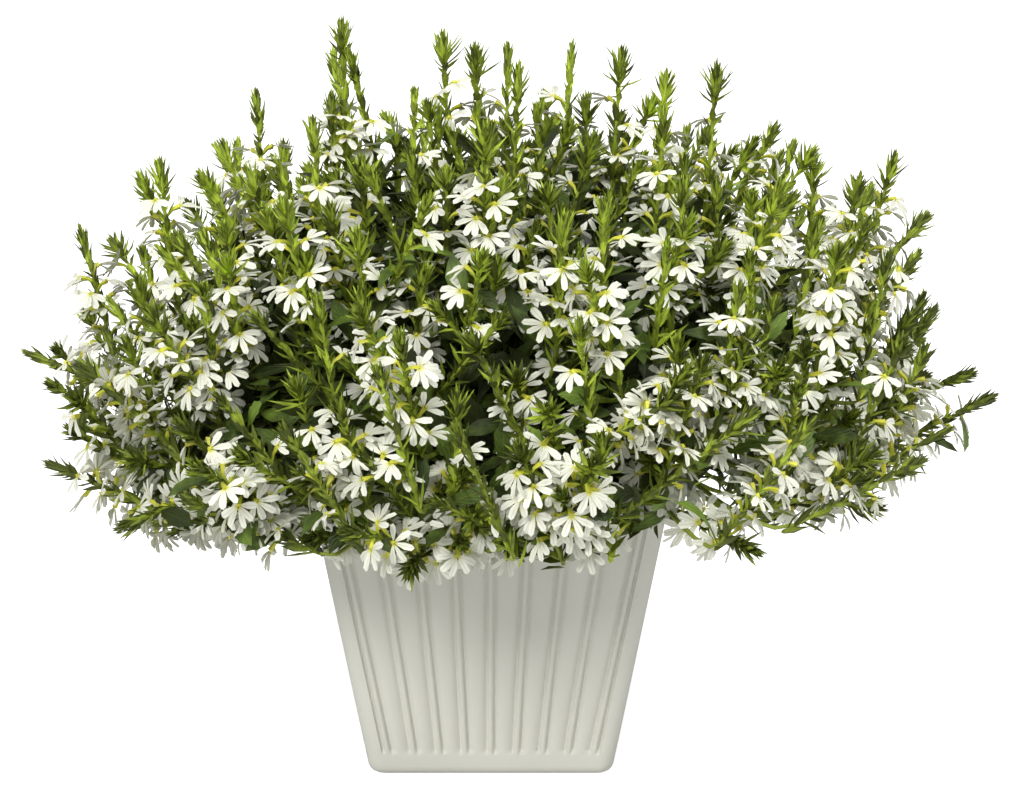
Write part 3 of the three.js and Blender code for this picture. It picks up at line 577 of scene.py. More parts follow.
def pot_finish(colour, shade):
    """Matt moulded plastic: soft mottling, dust and painted shade in the grooves, a few dark specks and a
    fine grain.
    """
    material, tree = new_material("matt_putty_plastic", Roughness=0.62, Specular_IOR_Level=0.35)
    _, _, groove = own_place(tree)
    plastic, _ = mottled(tree, rgba(colour), 14.0, 0.05)
    # The grooves darken towards the dust colour: dust, and painted shade in the grooves
    dust_and_groove_shade = calc(tree, "MULTIPLY", stepped(tree, groove, 0.02, 0.7), 0.22)
    where = add(tree, "ShaderNodeTexCoord").outputs["Object"]
    cells = add(tree, "ShaderNodeTexVoronoi", [("Vector", where), ("Scale", 55.0)]).outputs["Distance"]
    speck = calc(tree, "MULTIPLY", stepped(tree, cells, 0.06, 0.035), 0.5)
    specked_and_shaded = mixed(tree, speck, mixed(tree, dust_and_groove_shade, plastic, rgba(shade)), rgba(shade))
    grain = add(tree, "ShaderNodeTexNoise", [("Vector", where), ("Scale", 900.0), ("Detail", 2.0)])
    return surface(material, specked_and_shaded, grain.outputs["Fac"], 0.12, 0.0004)


def soil_finish(colour):
    """Damp compost: strong mottling from black to brown, and a coarse crumb."""
    material, tree = new_material("damp_compost", Roughness=0.95, Specular_IOR_Level=0.2)
    compost, crumb = mottled(tree, rgba(colour), 260.0, 0.8)
    return surface(material, compost, crumb, 0.8, 0.002)


def stem_finish(colour, young):
    """Stems: one colour at the root, which turns into another towards the tip, and a faint grain."""
    material, tree = new_material("stem_green", Roughness=0.5, Specular_IOR_Level=0.4)
    along, _, tone = own_place(tree)
    aged = mixed(tree, stepped(tree, along, 0.1, 0.75), rgba(colour), rgba(young))
    bark, grain = mottled(tree, aged, 220.0, 0.2, tone)
    return surface(material, bark, grain, 0.2, 0.0005)


def leaf_finish(name, colour, young, rib, rib_width, rough):
    """Leaves and bracts: a younger colour at the seat, a paler middle rib, side veins and a soft shine."""
    material, tree = new_material(name, Roughness=rough, Specular_IOR_Level=0.32)
    along, off, tone = own_place(tree)
    aged = mixed(tree, stepped(tree, along, 0.12, 0.85), rgba(young), rgba(colour))
    middle = stepped(tree, off, rib_width, 0.04)
    ribbed = mixed(tree, calc(tree, "MULTIPLY", middle, 0.7), aged, rgba(rib))
    green, _ = mottled(tree, ribbed, 130.0, 0.85, tone)
    slant = calc(tree, "MULTIPLY_ADD", off, -14.0, calc(tree, "MULTIPLY", along, 44.0))
    veins = calc(tree, "MULTIPLY_ADD", calc(tree, "SINE", slant), 0.5, middle)
    return surface(material, green, veins, 0.35, 0.0006)


def petal_finish(white, throat):
    """Petals: white, greyed by painted shade along the fold and the rim, with a yellow-green throat that
    runs out along the fold, and fine streaks."""
    material, tree = new_material("white_petal", Roughness=0.55, Specular_IOR_Level=0.3)
    along, off, tone = own_place(tree)
    # Painted shade along the fold and at the rim
    painted_crease_shade = calc(tree, "MAXIMUM", stepped(tree, off, 0.16, 0.02), stepped(tree, off, 0.86, 1.0))
    grey = (0.62 * white[0], 0.62 * white[1], 0.5 * white[2])
    crease_shaded = mixed(tree, calc(tree, "MULTIPLY", painted_crease_shade, 0.62), rgba(white), rgba(grey))
    tongue = calc(tree, "MULTIPLY", stepped(tree, off, 0.3, 0.0), stepped(tree, along, 0.6, 0.15))
    mask = calc(tree, "MAXIMUM", stepped(tree, along, 0.24, 0.04), calc(tree, "MULTIPLY", tongue, 0.55))
    petal, _ = mottled(tree, mixed(tree, mask, crease_shaded, rgba(throat)), 160.0, 0.06, tone)
    streaks = calc(tree, "SINE", calc(tree, "MULTIPLY", off, 16.0))
    return surface(material, petal, streaks, 0.15, 0.0003)


def floor_finish(colour, glow):
    """The floor's even, soft finish, lit from below like a light table so that shadows stay faint. The plant
    gets a small part of the glow that the camera sees."""
    values = {"Base_Color": rgba(colour), "Emission_Color": rgba(colour)}
    material, tree = new_material("studio_floor", Roughness=0.8, Specular_IOR_Level=0.2, **values)
    seen = add(tree, "ShaderNodeLightPath").outputs["Is Camera Ray"]
    strength = calc(tree, "MULTIPLY_ADD", seen, (1 - GLOW_ON_PLANT) * glow, GLOW_ON_PLANT * glow)
    tree.links.new(strength, tree.nodes[SHADER].inputs["Emission Strength"])
    return material


# The plant's blades, as places along a blade with their shares of its half width
LEAF_OUTLINE = ((0.06, 0.13), (0.3, 0.28), (0.5, 0.78), (0.62, 1.0), (0.66, 0.82), (0.8, 0.9), (0.84, 0.58))
APRON_OUTLINE = (
    (0.08, 0.25), (0.3, 0.95), (0.38, 0.88), (0.56, 1.45), (0.62, 1.2), (0.78, 1.15), (0.84, 0.75)
)
SHADE_OUTLINE = ((0.08, 0.14), (0.45, 0.8), (0.66, 1.0), (0.86, 0.5))
BRACT_OUTLINE = ((0.1, 0.66), (0.52, 1.0))
PETAL_OUTLINE = ((0.12, 0.34), (0.55, 0.94), (0.88, 0.84))

# The section, thickness and fold of each kind of blade
BRACT_MAKE = (KEELED, 0.0009, 0.3)
LEAF_MAKE = (CREASED, 0.0008, 0.2)
PETAL_MAKE = (CREASED, 0.0006, 0.28)

# Leaves under the low shoots, with the lengths from the tip to the first and from one to the next, then what
# raises the lowest leaves on the right and at the front, and the leaves inside the mound, with their least
# and most distance from the crown
APRON_BELOW = 9
APRON_DRAW = -0.3
APRON_FIRST = 0.032
APRON_STEP = 0.026
RAISED_RIGHT = 0.034
RAISED_FRONT = 0.036
SHADE_LOW = -8
SHADE_NEAR = 0.095
SHADE_FAR = 0.165

# How far bracts, leaves and flowers keep from the pot, a flower by a point this far out from its stem
BRACT_CLEAR = 0.003
LEAF_CLEAR = 0.004
FLOWER_CLEAR = 0.006
FLOWER_OUT = 0.016

# The bracts of a tuft and those below it, from the first to the last: angle to the stem, width or length. A
# tuft's highest bract is seated TUFT_TOP below the tip, and its lowest would rise by TUFT_LOWEST
TUFT_ANGLE = (44, 8)
TUFT_WIDTH = (0.0030, 0.0019)
TUFT_TOP = 0.0080
TUFT_LOWEST = 0.011
TUFT_POWER = 2.4
LOWER_ANGLE = (30, 46)
LOWER_LENGTH = (0.0086, 0.0165)
LOWER_WIDTH = 0.0037
LOWER_SPACING = 0.0024

# The first flower's distance below the tuft, and more at the top, and the shares of places with a flower on
# shoots in flower, less at the top, and on the others
FIRST_FLOWER = 0.004
FIRST_FLOWER_TOP = 0.007
FULL_SHARE = 0.94
FULL_LESS_TOP = 0.5
BARE_SHARE = 0.14

# A fan: its petals, the degrees between them, those of its slope and its slope's spread, and how far its
# throat stands above its place on the stem
PETALS = 5
PETAL_ANGLE = 38
FAN_SLOPE = 22
FAN_SLOPE_SPREAD = 33
THROAT_RISE = 0.0035

# A flower's tube: its radii from the stem to the throat, how far below the throat it begins, and its knee,
# out and up from there
TUBE_RADII = (0.0007, 0.0010, 0.0016)
TUBE_DROP = 0.005
KNEE_OUT = 0.0035
KNEE_UP = 0.0048


def metres(label, about, default):
    """A length property."""
    return FloatProperty(name=label, description=about, default=default, unit="LENGTH")


def amount(label, about, default, kind="NONE"):
    """A property for a share, a strength or an angle."""
    return FloatProperty(name=label, description=about, default=default, subtype=kind)


def whole(label, about, default, least=0):
    """A whole number property."""
    return IntProperty(name=label, description=about, default=default, min=least)


def tint(label, about, *default):
    """A colour property."""
    return FloatVectorProperty(name=label, description=about, default=default, subtype="COLOR", min=0, max=1)


def vector(label, about, kind, *default):
    """A property for a point or a direction."""
    return FloatVectorProperty(name=label, description=about, default=default, subtype=kind)


class PotSettings(PropertyGroup):
    rim_width: metres("Rim Width", "Width of the wall line at the rim", 0.190)
    base_width: metres("Base Width", "Width of the wall line at the base", 0.130)
    height: metres("Height", "Height of the rim", POT_HIGH.z)
    corner: metres("Corner", "Radius of the upright corners", 0.009)
    bead: metres("Bead", "How far each bead stands out", 0.0016)
    groove: metres("Groove", "Depth of the grooves beside a bead", 0.0008)
    colour: tint("Colour", "Colour of the plastic", 0.675, 0.675, 0.61)
    # The colour of the specks, and of the dust and painted shade in the grooves
    shade: tint("Dust", "Colour of the grooves and specks", 0.36, 0.35, 0.29)


class SoilSettings(PropertyGroup):
    mound: metres("Mound", "Rise of the middle", 0.005)
    crumb: metres("Crumb", "Height of the crumbs", 0.0012)
    colour: tint("Colour", "Colour of the compost", 0.035, 0.022, 0.013)


class FoliageSettings(PropertyGroup):
    shoots: whole("Shoots Between", "Shoots between the planted ones", 330)
    inset: metres("Inset", "How far inside the mound a shoot may end", 0.045)
    tuft: whole("Tuft Bracts", "Bracts in the tuft of each shoot", 34, 3)
    bracts: whole("Lower Bracts", "Bracts among the flowers of a shoot", 30, 3)
    leaves: whole("Leaves", "Leaves on each stem", 4)
    shade_leaves: whole("Shade Leaves", "Leaves inside the mound", 1450)
    leaf_length: metres("Leaf Length", "Length of a leaf", 0.033)
    leaf_width: metres("Leaf Width", "Width of a leaf", 0.0095)
    leaf_low: metres("Lowest Leaf", "Height of the lowest leaf tip", 0.114)
    leaf_colour: tint("Leaf", "Colour of the leaves", 0.105, 0.165, 0.026)
    bract_colour: tint("Bract", "Colour of the bracts", 0.142, 0.216, 0.020)
    young_colour: tint("Young Growth", "Colour of young bracts and flower tubes", 0.40, 0.50, 0.046)


class FlowerSettings(PropertyGroup):
    count: whole("Places", "Places for a flower on each shoot", 14, 1)
    open_low: amount("In Flower Low", "Share of shoots in flower, low down", 0.25)
    open_high: amount("In Flower High", "Share of shoots in flower, at the top", 0.30)
    spacing: metres("Spacing", "Height from flower to flower", 0.0034)
    petal_length: metres("Petal Length", "Length of a petal", 0.0118)
    petal_width: metres("Petal Width", "Width of a petal", 0.0040)
    throat_radius: metres("Throat", "Distance from stem to throat", 0.0074)
    white: tint("White", "Colour of the petals", 0.76, 0.77, 0.67)
    throat: tint("Throat Colour", "Colour of the throat", 0.56, 0.56, 0.05)


class StageSettings(PropertyGroup):
    elevation: amount("Elevation", "Camera's angle above level, degrees", 12)
    distance: metres("Distance", "Camera to the mound's middle", 2.4)
    target: vector("Target", "What the camera looks at", "TRANSLATION", 0.0113, 0, 0.193)
    lens: amount("Lens", "Focal length in millimetres", 156)
    key: amount("Key", "Strength of the key light", 2.0)
    key_from: vector("Key From", "Direction of the key light", "XYZ", 0.48, -0.58, 1.08)
    side: amount("Side", "Strength of the side light", 1.95)
    side_from: vector("Side From", "Direction of the side light", "XYZ", -0.50, -0.90, 0.72)
    spread: amount("Spread", "Angle of the key and side lights", 0.4, "ANGLE")
    sky: amount("Sky", "Strength of the white surroundings", 0.42)
    glow: amount("Glow", "Strength of the floor's own light", 1.35)
    floor_colour: tint("Floor", "Colour of the floor", 0.62, 0.62, 0.62)


def each_branch():
    """Each branch's number and shoots, the planted ones first, as stem_curves gives them."""
    foliage = bpy.context.scene.fan_flower_foliage
    aims = np.concatenate([planted_aims(), filling_aims(foliage.shoots, foliage.inset)], axis=1)
    every = stem_curves(aims)
    for branch in range(SECTORS + 1):
        yield branch, only(every, every["branch"] == branch)


def clear_of_pot(points, margin):
    """True for points a margin above the rim or outside the wall, which widens evenly with height."""
    pot = bpy.context.scene.fan_flower_pot
    half = between(pot.base_width, pot.rim_width, np.clip(points[..., 2] / pot.height, 0, 1)) / 2 + LIP_OUT
    outside = np.max(np.abs(points[..., :2]), axis=-1) > half + margin
    return outside | (points[..., 2] > pot.height + margin)


def picked(mask, *arrays):
    """What the mask picks from each array, in flat rows."""
    return [values[mask] for values in arrays]


def leaned(angle, up, out):
    """Directions at an angle to 'up' towards 'out', and directions square to them on the side of 'up'."""
    along = scaled(np.cos(angle), up) + scaled(np.sin(angle), out)
    return along, scaled(np.sin(angle), up) - scaled(np.cos(angle), out)


def below_tip(shoots, down):
    """Places on the shoots' straight ends, a row for each, at lengths below the tip, and directions up."""
    end = np.broadcast_to(shoots["end"][:, None], (*np.shape(down), 3))
    return shoots["tip"][:, None] - scaled(down, end), end


def spiral(shoots, count, turn):
    """For each shoot and each of count places up a golden-angle spiral: numbers for draws, and directions
    straight out from its end."""
    step = np.arange(count)
    angle = np.radians(GOLDEN_ANGLE * step + 180 * draw(shoots["index"], turn)[:, None])
    out, _ = leaned(angle, shoots["outer"][:, None], shoots["side"][:, None])
    return shoots["index"][:, None] * NUMBERS_EACH + step, out


def stems(shoots):
    """Stems: the Bezier's points and three more up the straight end, with a radius that falls to the tip."""
    count = len(shoots["tip"])
    path, along = curve_at(shoots, np.broadcast_to(np.linspace(0, 1, STEM_STEPS), (count, STEM_STEPS)))
    last, end = below_tip(shoots, np.broadcast_to(STEM_LAST, (count, len(STEM_LAST))))
    path = np.concatenate([path, last], axis=1)
    along = np.concatenate([along, end], axis=1)
    radius = np.linspace(STEM_ROOT_RADIUS, STEM_TIP_RADIUS, path.shape[1])
    return tubes(path, along, shoots["side"][:, None], radius, STEM_SIDES, draw(shoots["index"], 60))


def trunk(branch):
    """The trunk of one branch, from its hole in the soil to where the shoots part."""
    top = TRUNK_HEIGHT if branch < SECTORS else MIDDLE_TRUNK_HEIGHT
    path = trunk_point(np.full(TRUNK_STEPS, branch), np.linspace(SOIL_TOP - TRUNK_DEPTH, top, TRUNK_STEPS))
    along = unit(np.gradient(path, axis=0))
    radius = TRUNK_RADIUS * np.linspace(1, TRUNK_TAPER, TRUNK_STEPS)
    points, faces, marks = tubes(path[None], along[None], [0.0, 1.0, 0.0], radius, TRUNK_SIDES, np.zeros(1))
    marks[:, 0] = 0
    return points, faces, marks


def upright_blades(shoots, number, out, down, angle, length, width, bend):
    """Keeled bracts that leave the stem 'down' below its tip, at an angle to it in degrees, towards 'out',
    and curve in or out by their bend. They are darker at random on some shoots, and painted shade darkens
    them on low shoots and inside the mound."""
    seat, end = below_tip(shoots, down)
    along, face = leaned(np.radians(angle), end, out)
    keep = clear_of_pot(seat + scaled(length, along), BRACT_CLEAR)
    # Painted shade inside the mound
    painted_shade_inside = 1 - smooth(0.13, 0.20, np.linalg.norm(seat - CROWN, axis=-1))
    # Darker at random by shoot, and painted shade on low shoots
    own = 0.35 * draw(shoots["index"], 66) - 0.9 * (1 - smooth(0, 45, shoots["elevation"]))
    tone = 0.9 * draw(number, 24) + own[:, None] - 0.8 * painted_shade_inside
    return blades(picked(keep, seat, along, face, length, width, bend, tone), BRACT_OUTLINE, *BRACT_MAKE)


def tuft_bracts(shoots, count):
    """Tufts: narrow bracts up the last part of each stem, which stand close, curve in and end nearly
    together, below the tip by a power of what is left of the way up. The lowest are shorter."""
    number, out = spiral(shoots, count, 41)
    share = np.arange(count) / (count - 1)
    opening = 1.15 + 0.45 * draw(shoots["index"], 57)[:, None]
    tuft = shoots["tuft"][:, None]
    down = between(tuft, TUFT_TOP, share)
    angle = opening * (between(*TUFT_ANGLE, share) + 10 * draw(number, 21))
    below = (tuft - TUFT_LOWEST) * (1 - share) ** TUFT_POWER + 0.0014 * draw(number, 20)
    length = (down - below) / np.cos(np.radians(0.75 * angle)) * between(0.7, 1, smooth(0, 0.4, share))
    width = between(*TUFT_WIDTH, share) * (1 + 0.15 * draw(number, 22))
    bend = 0.3 * draw(number, 23) - 0.5 * between(1, 0.1, share)
    return upright_blades(shoots, number, out, down, angle, length, width, bend)


def lower_bracts(shoots, count):
    """The longer bracts below the tuft, among the flowers, which stand off the stem and arch out or in."""
    number, out = spiral(shoots, count, 58)
    share = np.arange(count) / (count - 1)
    down = shoots["tuft"][:, None] - 0.002 + LOWER_SPACING * (np.arange(count) + 0.5 * draw(number, 25))
    angle = between(*LOWER_ANGLE, share) + 14 * draw(number, 26)
    length = between(*LOWER_LENGTH, share) * (1 + 0.25 * draw(number, 27))
    width = LOWER_WIDTH * (1 + 0.25 * draw(number, 28))
    bend = 0.5 * draw(number, 29) - 0.2
    return upright_blades(shoots, number, out, down, angle, length, width, bend)


def leaves(number, seat, along, face, scale, outline, shade=0):
    """Leaves on given seats, less those in the pot's way or too low, with sizes, bends and tones by their
    numbers, the tones lowered by the shade."""
    foliage = bpy.context.scene.fan_flower_foliage
    length = foliage.leaf_length * scale * (1 + 0.22 * draw(number, 37))
    width = foliage.leaf_width * scale * (1 + 0.2 * draw(number, 38))
    bend = 0.55 + 0.6 * draw(number, 39)
    tip = seat + scaled(length, unit(along)) - scaled(length * bend / 2, unit(face))
    lowest = foliage.leaf_low + RAISED_RIGHT * smooth(0.06, 0.12, tip[..., 0])
    lowest = lowest + RAISED_FRONT * smooth(0.05, 0.10, -tip[..., 1])
    keep = clear_of_pot(seat, LEAF_CLEAR) & clear_of_pot(tip, LEAF_CLEAR) & (tip[..., 2] > lowest)
    tone = draw(number, 40) - shade
    return blades(picked(keep, seat, along, face, length, width, bend, tone), outline, *LEAF_MAKE)


def stem_leaves(shoots, count):
    """Toothed leaves round a golden-angle spiral on the upper part of each stem, bent down at their ends."""
    number, out = spiral(shoots, count, 43)
    t = between(0.42, 0.98, np.arange(count) / max(count - 1, 1))
    seat, tangent = curve_at(shoots, np.clip(t + 0.05 * draw(number, 31), 0, 1))
    out = unit(out - scaled(np.sum(out * tangent, axis=-1), tangent))
    along, face = leaned(np.radians(56 + 16 * draw(number, 32)), tangent, out)
    return leaves(number, seat, along, face, 1.0, LEAF_OUTLINE)


def apron_leaves(shoots):
    """Broad toothed leaves under the flowers of most low shoots, darkened by painted shade: two on each, one
    below another up its straight end, turned down or out to drawn sides."""
    low = only(shoots, (shoots["elevation"] < APRON_BELOW) & (draw(shoots["index"], 65) > APRON_DRAW))
    step = np.arange(2)
    number = APRON_NUMBERS + low["index"][:, None] * 4 + step
    seat, _ = below_tip(low, APRON_FIRST + APRON_STEP * (step + 0.4 * draw(number, 61)))
    facing = np.degrees(np.arctan2(seat[..., 1], seat[..., 0]))
    along = heading(facing + 95 * draw(number, 62), 36 * draw(number, 63) - 28)
    face = heading(facing + 30 * draw(number, 64), 40)
    # Painted shade lowers their tone
    return leaves(number, seat, along, face, 0.8, APRON_OUTLINE, 0.5)


def shade_leaves(branch, count):
    """Leaves inside the mound, on a lattice of directions from the crown, at drawn distances that are a
    little less at the top, which point out and up at a drawn slant."""
    step, elevation, azimuth = lattice(count, SHADE_LOW, 1)
    azimuth = azimuth % 360
    own = branch_of(elevation, azimuth) == branch
    number, elevation, azimuth = picked(own, SHADE_NUMBERS + step, elevation, azimuth)
    radius = between(SHADE_NEAR, SHADE_FAR, chance(number, 33)) * (1 - 0.08 * smooth(40, 65, elevation))
    seat = CROWN + scaled(radius, heading(azimuth, elevation))
    along = heading(azimuth + 70 * draw(number, 34), 25 + 45 * draw(number, 35))
    face = heading(azimuth + 25 * draw(number, 36), elevation + 20)
    # Painted shade lowers their tone, deep in the mound
    return leaves(number, seat, along, face, 1.05, SHADE_OUTLINE, 1.0)


def throats(shoots):
    """The flowers of each shoot, evenly down from its tuft: their numbers, throats, directions up the stem
    and out from it, and radii. Some shoots have few or none: more of them high on the mound and on its
    right, and fewer at its fringe and front. Places in the pot's way are left bare. A throat stands a drawn
    radius out from the stem, and a little up."""
    flowers = bpy.context.scene.fan_flower_flowers
    elevation = shoots["elevation"]
    number, out = spiral(shoots, flowers.count, 42)
    first = shoots["tuft"] + FIRST_FLOWER + FIRST_FLOWER_TOP * smooth(40, 60, elevation)
    down = first[:, None] + flowers.spacing * (np.arange(flowers.count) + 0.4 * draw(number, 25))
    seat, end = below_tip(shoots, down)
    flowering = between(flowers.open_low, flowers.open_high, smooth(0, 70, elevation))
    flowering = flowering + FRINGE_FLOWERING * (1 - smooth(2, 16, elevation))
    flowering = flowering + FRONT_FLOWERING * smooth(0.05, 0.18, -shoots["tip"][:, 1])
    flowering = flowering - RIGHT_FLOWERING * smooth(0.08, 0.18, shoots["tip"][:, 0])
    full = (shoots["index"] < PLANTED) | (shoots["index"] * FLOWERING_STEP % 1 < flowering)
    share = np.where(full, FULL_SHARE - FULL_LESS_TOP * smooth(42, 64, elevation), BARE_SHARE)
    keep = clear_of_pot(seat + FLOWER_OUT * out, FLOWER_CLEAR) & (chance(number, 55) < share[:, None])
    number, seat, end, out = picked(keep, number, seat, end, out)
    radius = flowers.throat_radius * (1 + 0.12 * draw(number, 51))
    throat = seat + scaled(radius, out) + scaled(THROAT_RISE + 0.0015 * draw(number, 52), end)
    return number, throat, end, out, radius


def fans(shoots):
    """Petals: from each throat, five on the outer side, in a plane that slopes down and out from the stem
    and is rolled by a draw, each arched back at its end."""
    flowers = bpy.context.scene.fan_flower_flowers
    number, throat, end, out, _ = throats(shoots)
    slope = np.radians(FAN_SLOPE + FAN_SLOPE_SPREAD * draw(number, 53))
    around = unit(np.cross(end, out) + scaled(0.4 * draw(number, 56), end))
    down = scaled(np.cos(slope), out) - scaled(np.sin(slope), end)
    petal = np.arange(PETALS)
    drawn = number[:, None] * PETALS + petal
    aside = petal - (PETALS - 1) // 2
    angle = np.radians(aside * (PETAL_ANGLE + 5 * draw(number, 59))[:, None] + 5 * draw(drawn, 44))
    along, _ = leaned(angle, down[:, None], around[:, None])
    face = np.broadcast_to(np.cross(down, around)[:, None], along.shape)
    along = along + scaled(0.18 + 0.14 * draw(drawn, 45), face)
    seat = throat[:, None] + 0.0006 * along
    length = flowers.petal_length * (1 - 0.05 * np.abs(aside) + 0.07 * draw(drawn, 46))
    width = flowers.petal_width * (1 + 0.1 * draw(drawn, 47))
    bend = 0.38 + 0.35 * draw(drawn, 48) + 0.25 * draw(number, 49)[:, None]
    every = np.full(drawn.shape, True)
    own = picked(every, seat, along, face, length, width, bend, draw(drawn, 50))
    return blades(own, PETAL_OUTLINE, *PETAL_MAKE)


def flower_tubes(shoots):
    """The tube of each flower: a quadratic Bezier from the stem, up and out to the throat, which widens."""
    number, throat, end, out, radius = throats(shoots)
    base = throat - scaled(radius, out) - TUBE_DROP * end
    knee = base + KNEE_OUT * out + KNEE_UP * end
    side = np.cross(end, out)
    base, knee, throat, side = (vectors[:, None] for vectors in (base, knee, throat, side))
    t = np.array([0, 0.5, 1.0])[:, None]
    path = (1 - t) ** 2 * base + 2 * t * (1 - t) * knee + t * t * throat
    speed = (1 - t) * (knee - base) + t * (throat - knee)
    return tubes(path, unit(speed), side, TUBE_RADII, 4, draw(number, 54))


# The pot: the steps round a corner, its plain bands, the reeds across a side in metres and in shares of the
# pitch, their heights, and the drain holes
CORNER_STEPS = 11
CORNER_BAND = 0.0125
LEAST_CORNER = 0.003
BEADS = 9
BESIDE_BEAD = np.array([0.5, 1.2, 1.8, 2.3, 2.8, 3.4, 4.1, 5.0]) / 1000
ACROSS_PANEL = np.array([0.42, 0.5, 0.58])
BEAD_HALF = 0.0017
BEAD_ROOM = 0.0028
END_SQUEEZE = 0.22
GROOVE_AWAY = 0.0024
GROOVE_WIDTH = 0.0009
PANEL_CROWN = 0.0012
CROWN_AWAY = 0.0068
REED_FROM = 0.0115
REED_TO = 0.149
REED_FADE = 0.004
DRAIN_AWAY = 0.030
DRAIN_RADIUS = 0.005
DRAIN_HEIGHTS = (-0.004, 0.020)
DRAIN_SIDES = 32
LIP_OUT = 0.002

# The wall's profile from the underside, up the outside, over the rim and down the inside to the floor, as
# heights and offsets from the wall line
BASE_PROFILE = ((0, -0.0052), (0.0004, -0.0032), (0.0014, -0.0015), (0.0029, -0.0004), (0.0050, 0))
WALL_HEIGHTS = (0.0080, 0.0110, 0.0120, 0.0130, 0.0142, 0.0156, 0.060, 0.105, 0.1445, 0.1460, 0.1473, 0.1486)
LIP_PROFILE = ((0.1515, 0), (0.1522, 0.0005), (0.1528, 0.0013), (0.1538, 0.0018), (0.1552, LIP_OUT))
RIM_PROFILE = ((0.1600, LIP_OUT), (0.1613, 0.0016), (0.1619, 0.0007), (0.1620, -0.0006), (0.1620, -0.0042))
INSIDE_PROFILE = ((0.1617, -0.0054), (0.1606, -0.0060), (0.090, -0.0060), (0.0150, -0.0060))
FLOOR_PROFILE = ((0.0105, -0.0068), (0.0086, -0.0088), (0.0080, -0.0120))

# The soil: half its width at the foot, its corners' radius, how far its edge lies below its top, the rings
# and places of its top, the shares of its width at the first and last ring, and the waves of its crumbs
SOIL_FOOT_HALF = 0.0601
SOIL_CORNER = 0.008
SOIL_EDGE = 0.001
SOIL_RINGS = 34
SOIL_PLACES = 33
SOIL_SHARES = (0.992, 0.03)
CRUMB_WAVES = 11
CRUMB_LENGTHS = (0.004, 0.022)


def square_ring(half, z, corner, along, relief):
    """Closed rounded squares, m rings: on each side the given places stand out by their relief, and each
    corner is a quarter circle. half, z and corner hold a value for each ring."""
    half, z, corner = half[:, None], z[:, None], corner[:, None]
    arc = np.linspace(0, np.pi / 2, CORNER_STEPS)
    x = half - corner + corner * np.cos(arc)
    y = half - corner + corner * np.sin(arc)
    side = np.concatenate([stacked(half + relief, along), stacked(x, y)], axis=1)
    turned = stacked(-side[..., 1], side[..., 0])
    ring = np.concatenate([side, turned, -side, -turned], axis=1)
    return stacked(ring[..., 0], ring[..., 1], z)


def upright_loft(rings, marks, low, high):
    """One loft of rings round the upright axis, with its poles at two heights."""
    return lofts(rings[None], np.array([[0, 0, low]]), np.array([[0, 0, high]]), marks[None])


def with_panels(at_beads, at_panels):
    """Values across a side: at each bead, then at the panel after it, but for the last."""
    panels = np.broadcast_to(at_panels, (BEADS, len(ACROSS_PANEL)))
    return np.concatenate([at_beads, panels], axis=1).ravel()[: -len(ACROSS_PANEL)]


def reeding(pot):
    """One side's reeds, as places in pitches and in metres from them, relief, and a mark for dust and
    painted shade in the grooves. A bead is a half ellipse between two bell-shaped grooves, and the panels
    between rise in a soft crown to the wall line. At both ends of the side the outer groove is squeezed."""
    bead = (np.arange(BEADS) - (BEADS - 1) / 2)[:, None]
    off = np.tile(np.append(-BESIDE_BEAD[::-1], BESIDE_BEAD), (BEADS, 1))
    tight = (np.abs(bead) == bead.max()) & (off * bead > BEAD_ROOM * bead.max())
    off = np.where(tight, np.sign(off) * between(BEAD_ROOM, np.abs(off), END_SQUEEZE), off)
    away = np.abs(off)
    bell = np.exp(-(((away - GROOVE_AWAY) / GROOVE_WIDTH) ** 2))
    rise = pot.bead * np.sqrt(np.clip(1 - (off / BEAD_HALF) ** 2, 0, 1))
    crown = PANEL_CROWN * (smooth(BEAD_HALF, CROWN_AWAY, away) - 1)
    place = with_panels(np.broadcast_to(bead, off.shape), bead + ACROSS_PANEL)
    return place, with_panels(off, 0), with_panels(rise - pot.groove * bell + crown, 0), with_panels(bell, 0)


def pot_wall(pot):
    """The pot as one loft of rounded squares up its profile, with the reeds across each side, all faded out
    at the band and the lip."""
    wall = BASE_PROFILE + tuple((z, 0) for z in WALL_HEIGHTS)
    z, offset = np.array(wall + LIP_PROFILE + RIM_PROFILE + INSIDE_PROFILE + FLOOR_PROFILE).T
    half = between(pot.base_width, pot.rim_width, z / pot.height) / 2
    pitch = 2 * (half - CORNER_BAND) / (BEADS - 1)
    place, nudge, relief, dust_and_groove_shade = reeding(pot)
    corner = np.maximum(pot.corner + np.minimum(offset, 0), LEAST_CORNER)
    room = np.minimum(1, (half + offset - corner) / (half - pot.corner))
    along = (place * pitch[:, None] + nudge) * room[:, None]
    fade = smooth(REED_FROM, REED_FROM + REED_FADE, z) * (1 - smooth(REED_TO - REED_FADE, REED_TO, z))
    fade = fade * (np.arange(len(z)) < len(wall))
    rings = square_ring(half + offset, z, corner, along, relief * fade[:, None])
    # The grooves' mark for dust and painted shade, faded like the reeds
    dust_and_groove_shade = np.tile(np.append(dust_and_groove_shade, np.zeros(CORNER_STEPS)), 4) * fade[:, None]
    marks = stacked(np.linspace(0, 1, len(z))[:, None], 0, dust_and_groove_shade)
    return upright_loft(rings, marks, z[0], z[-1])


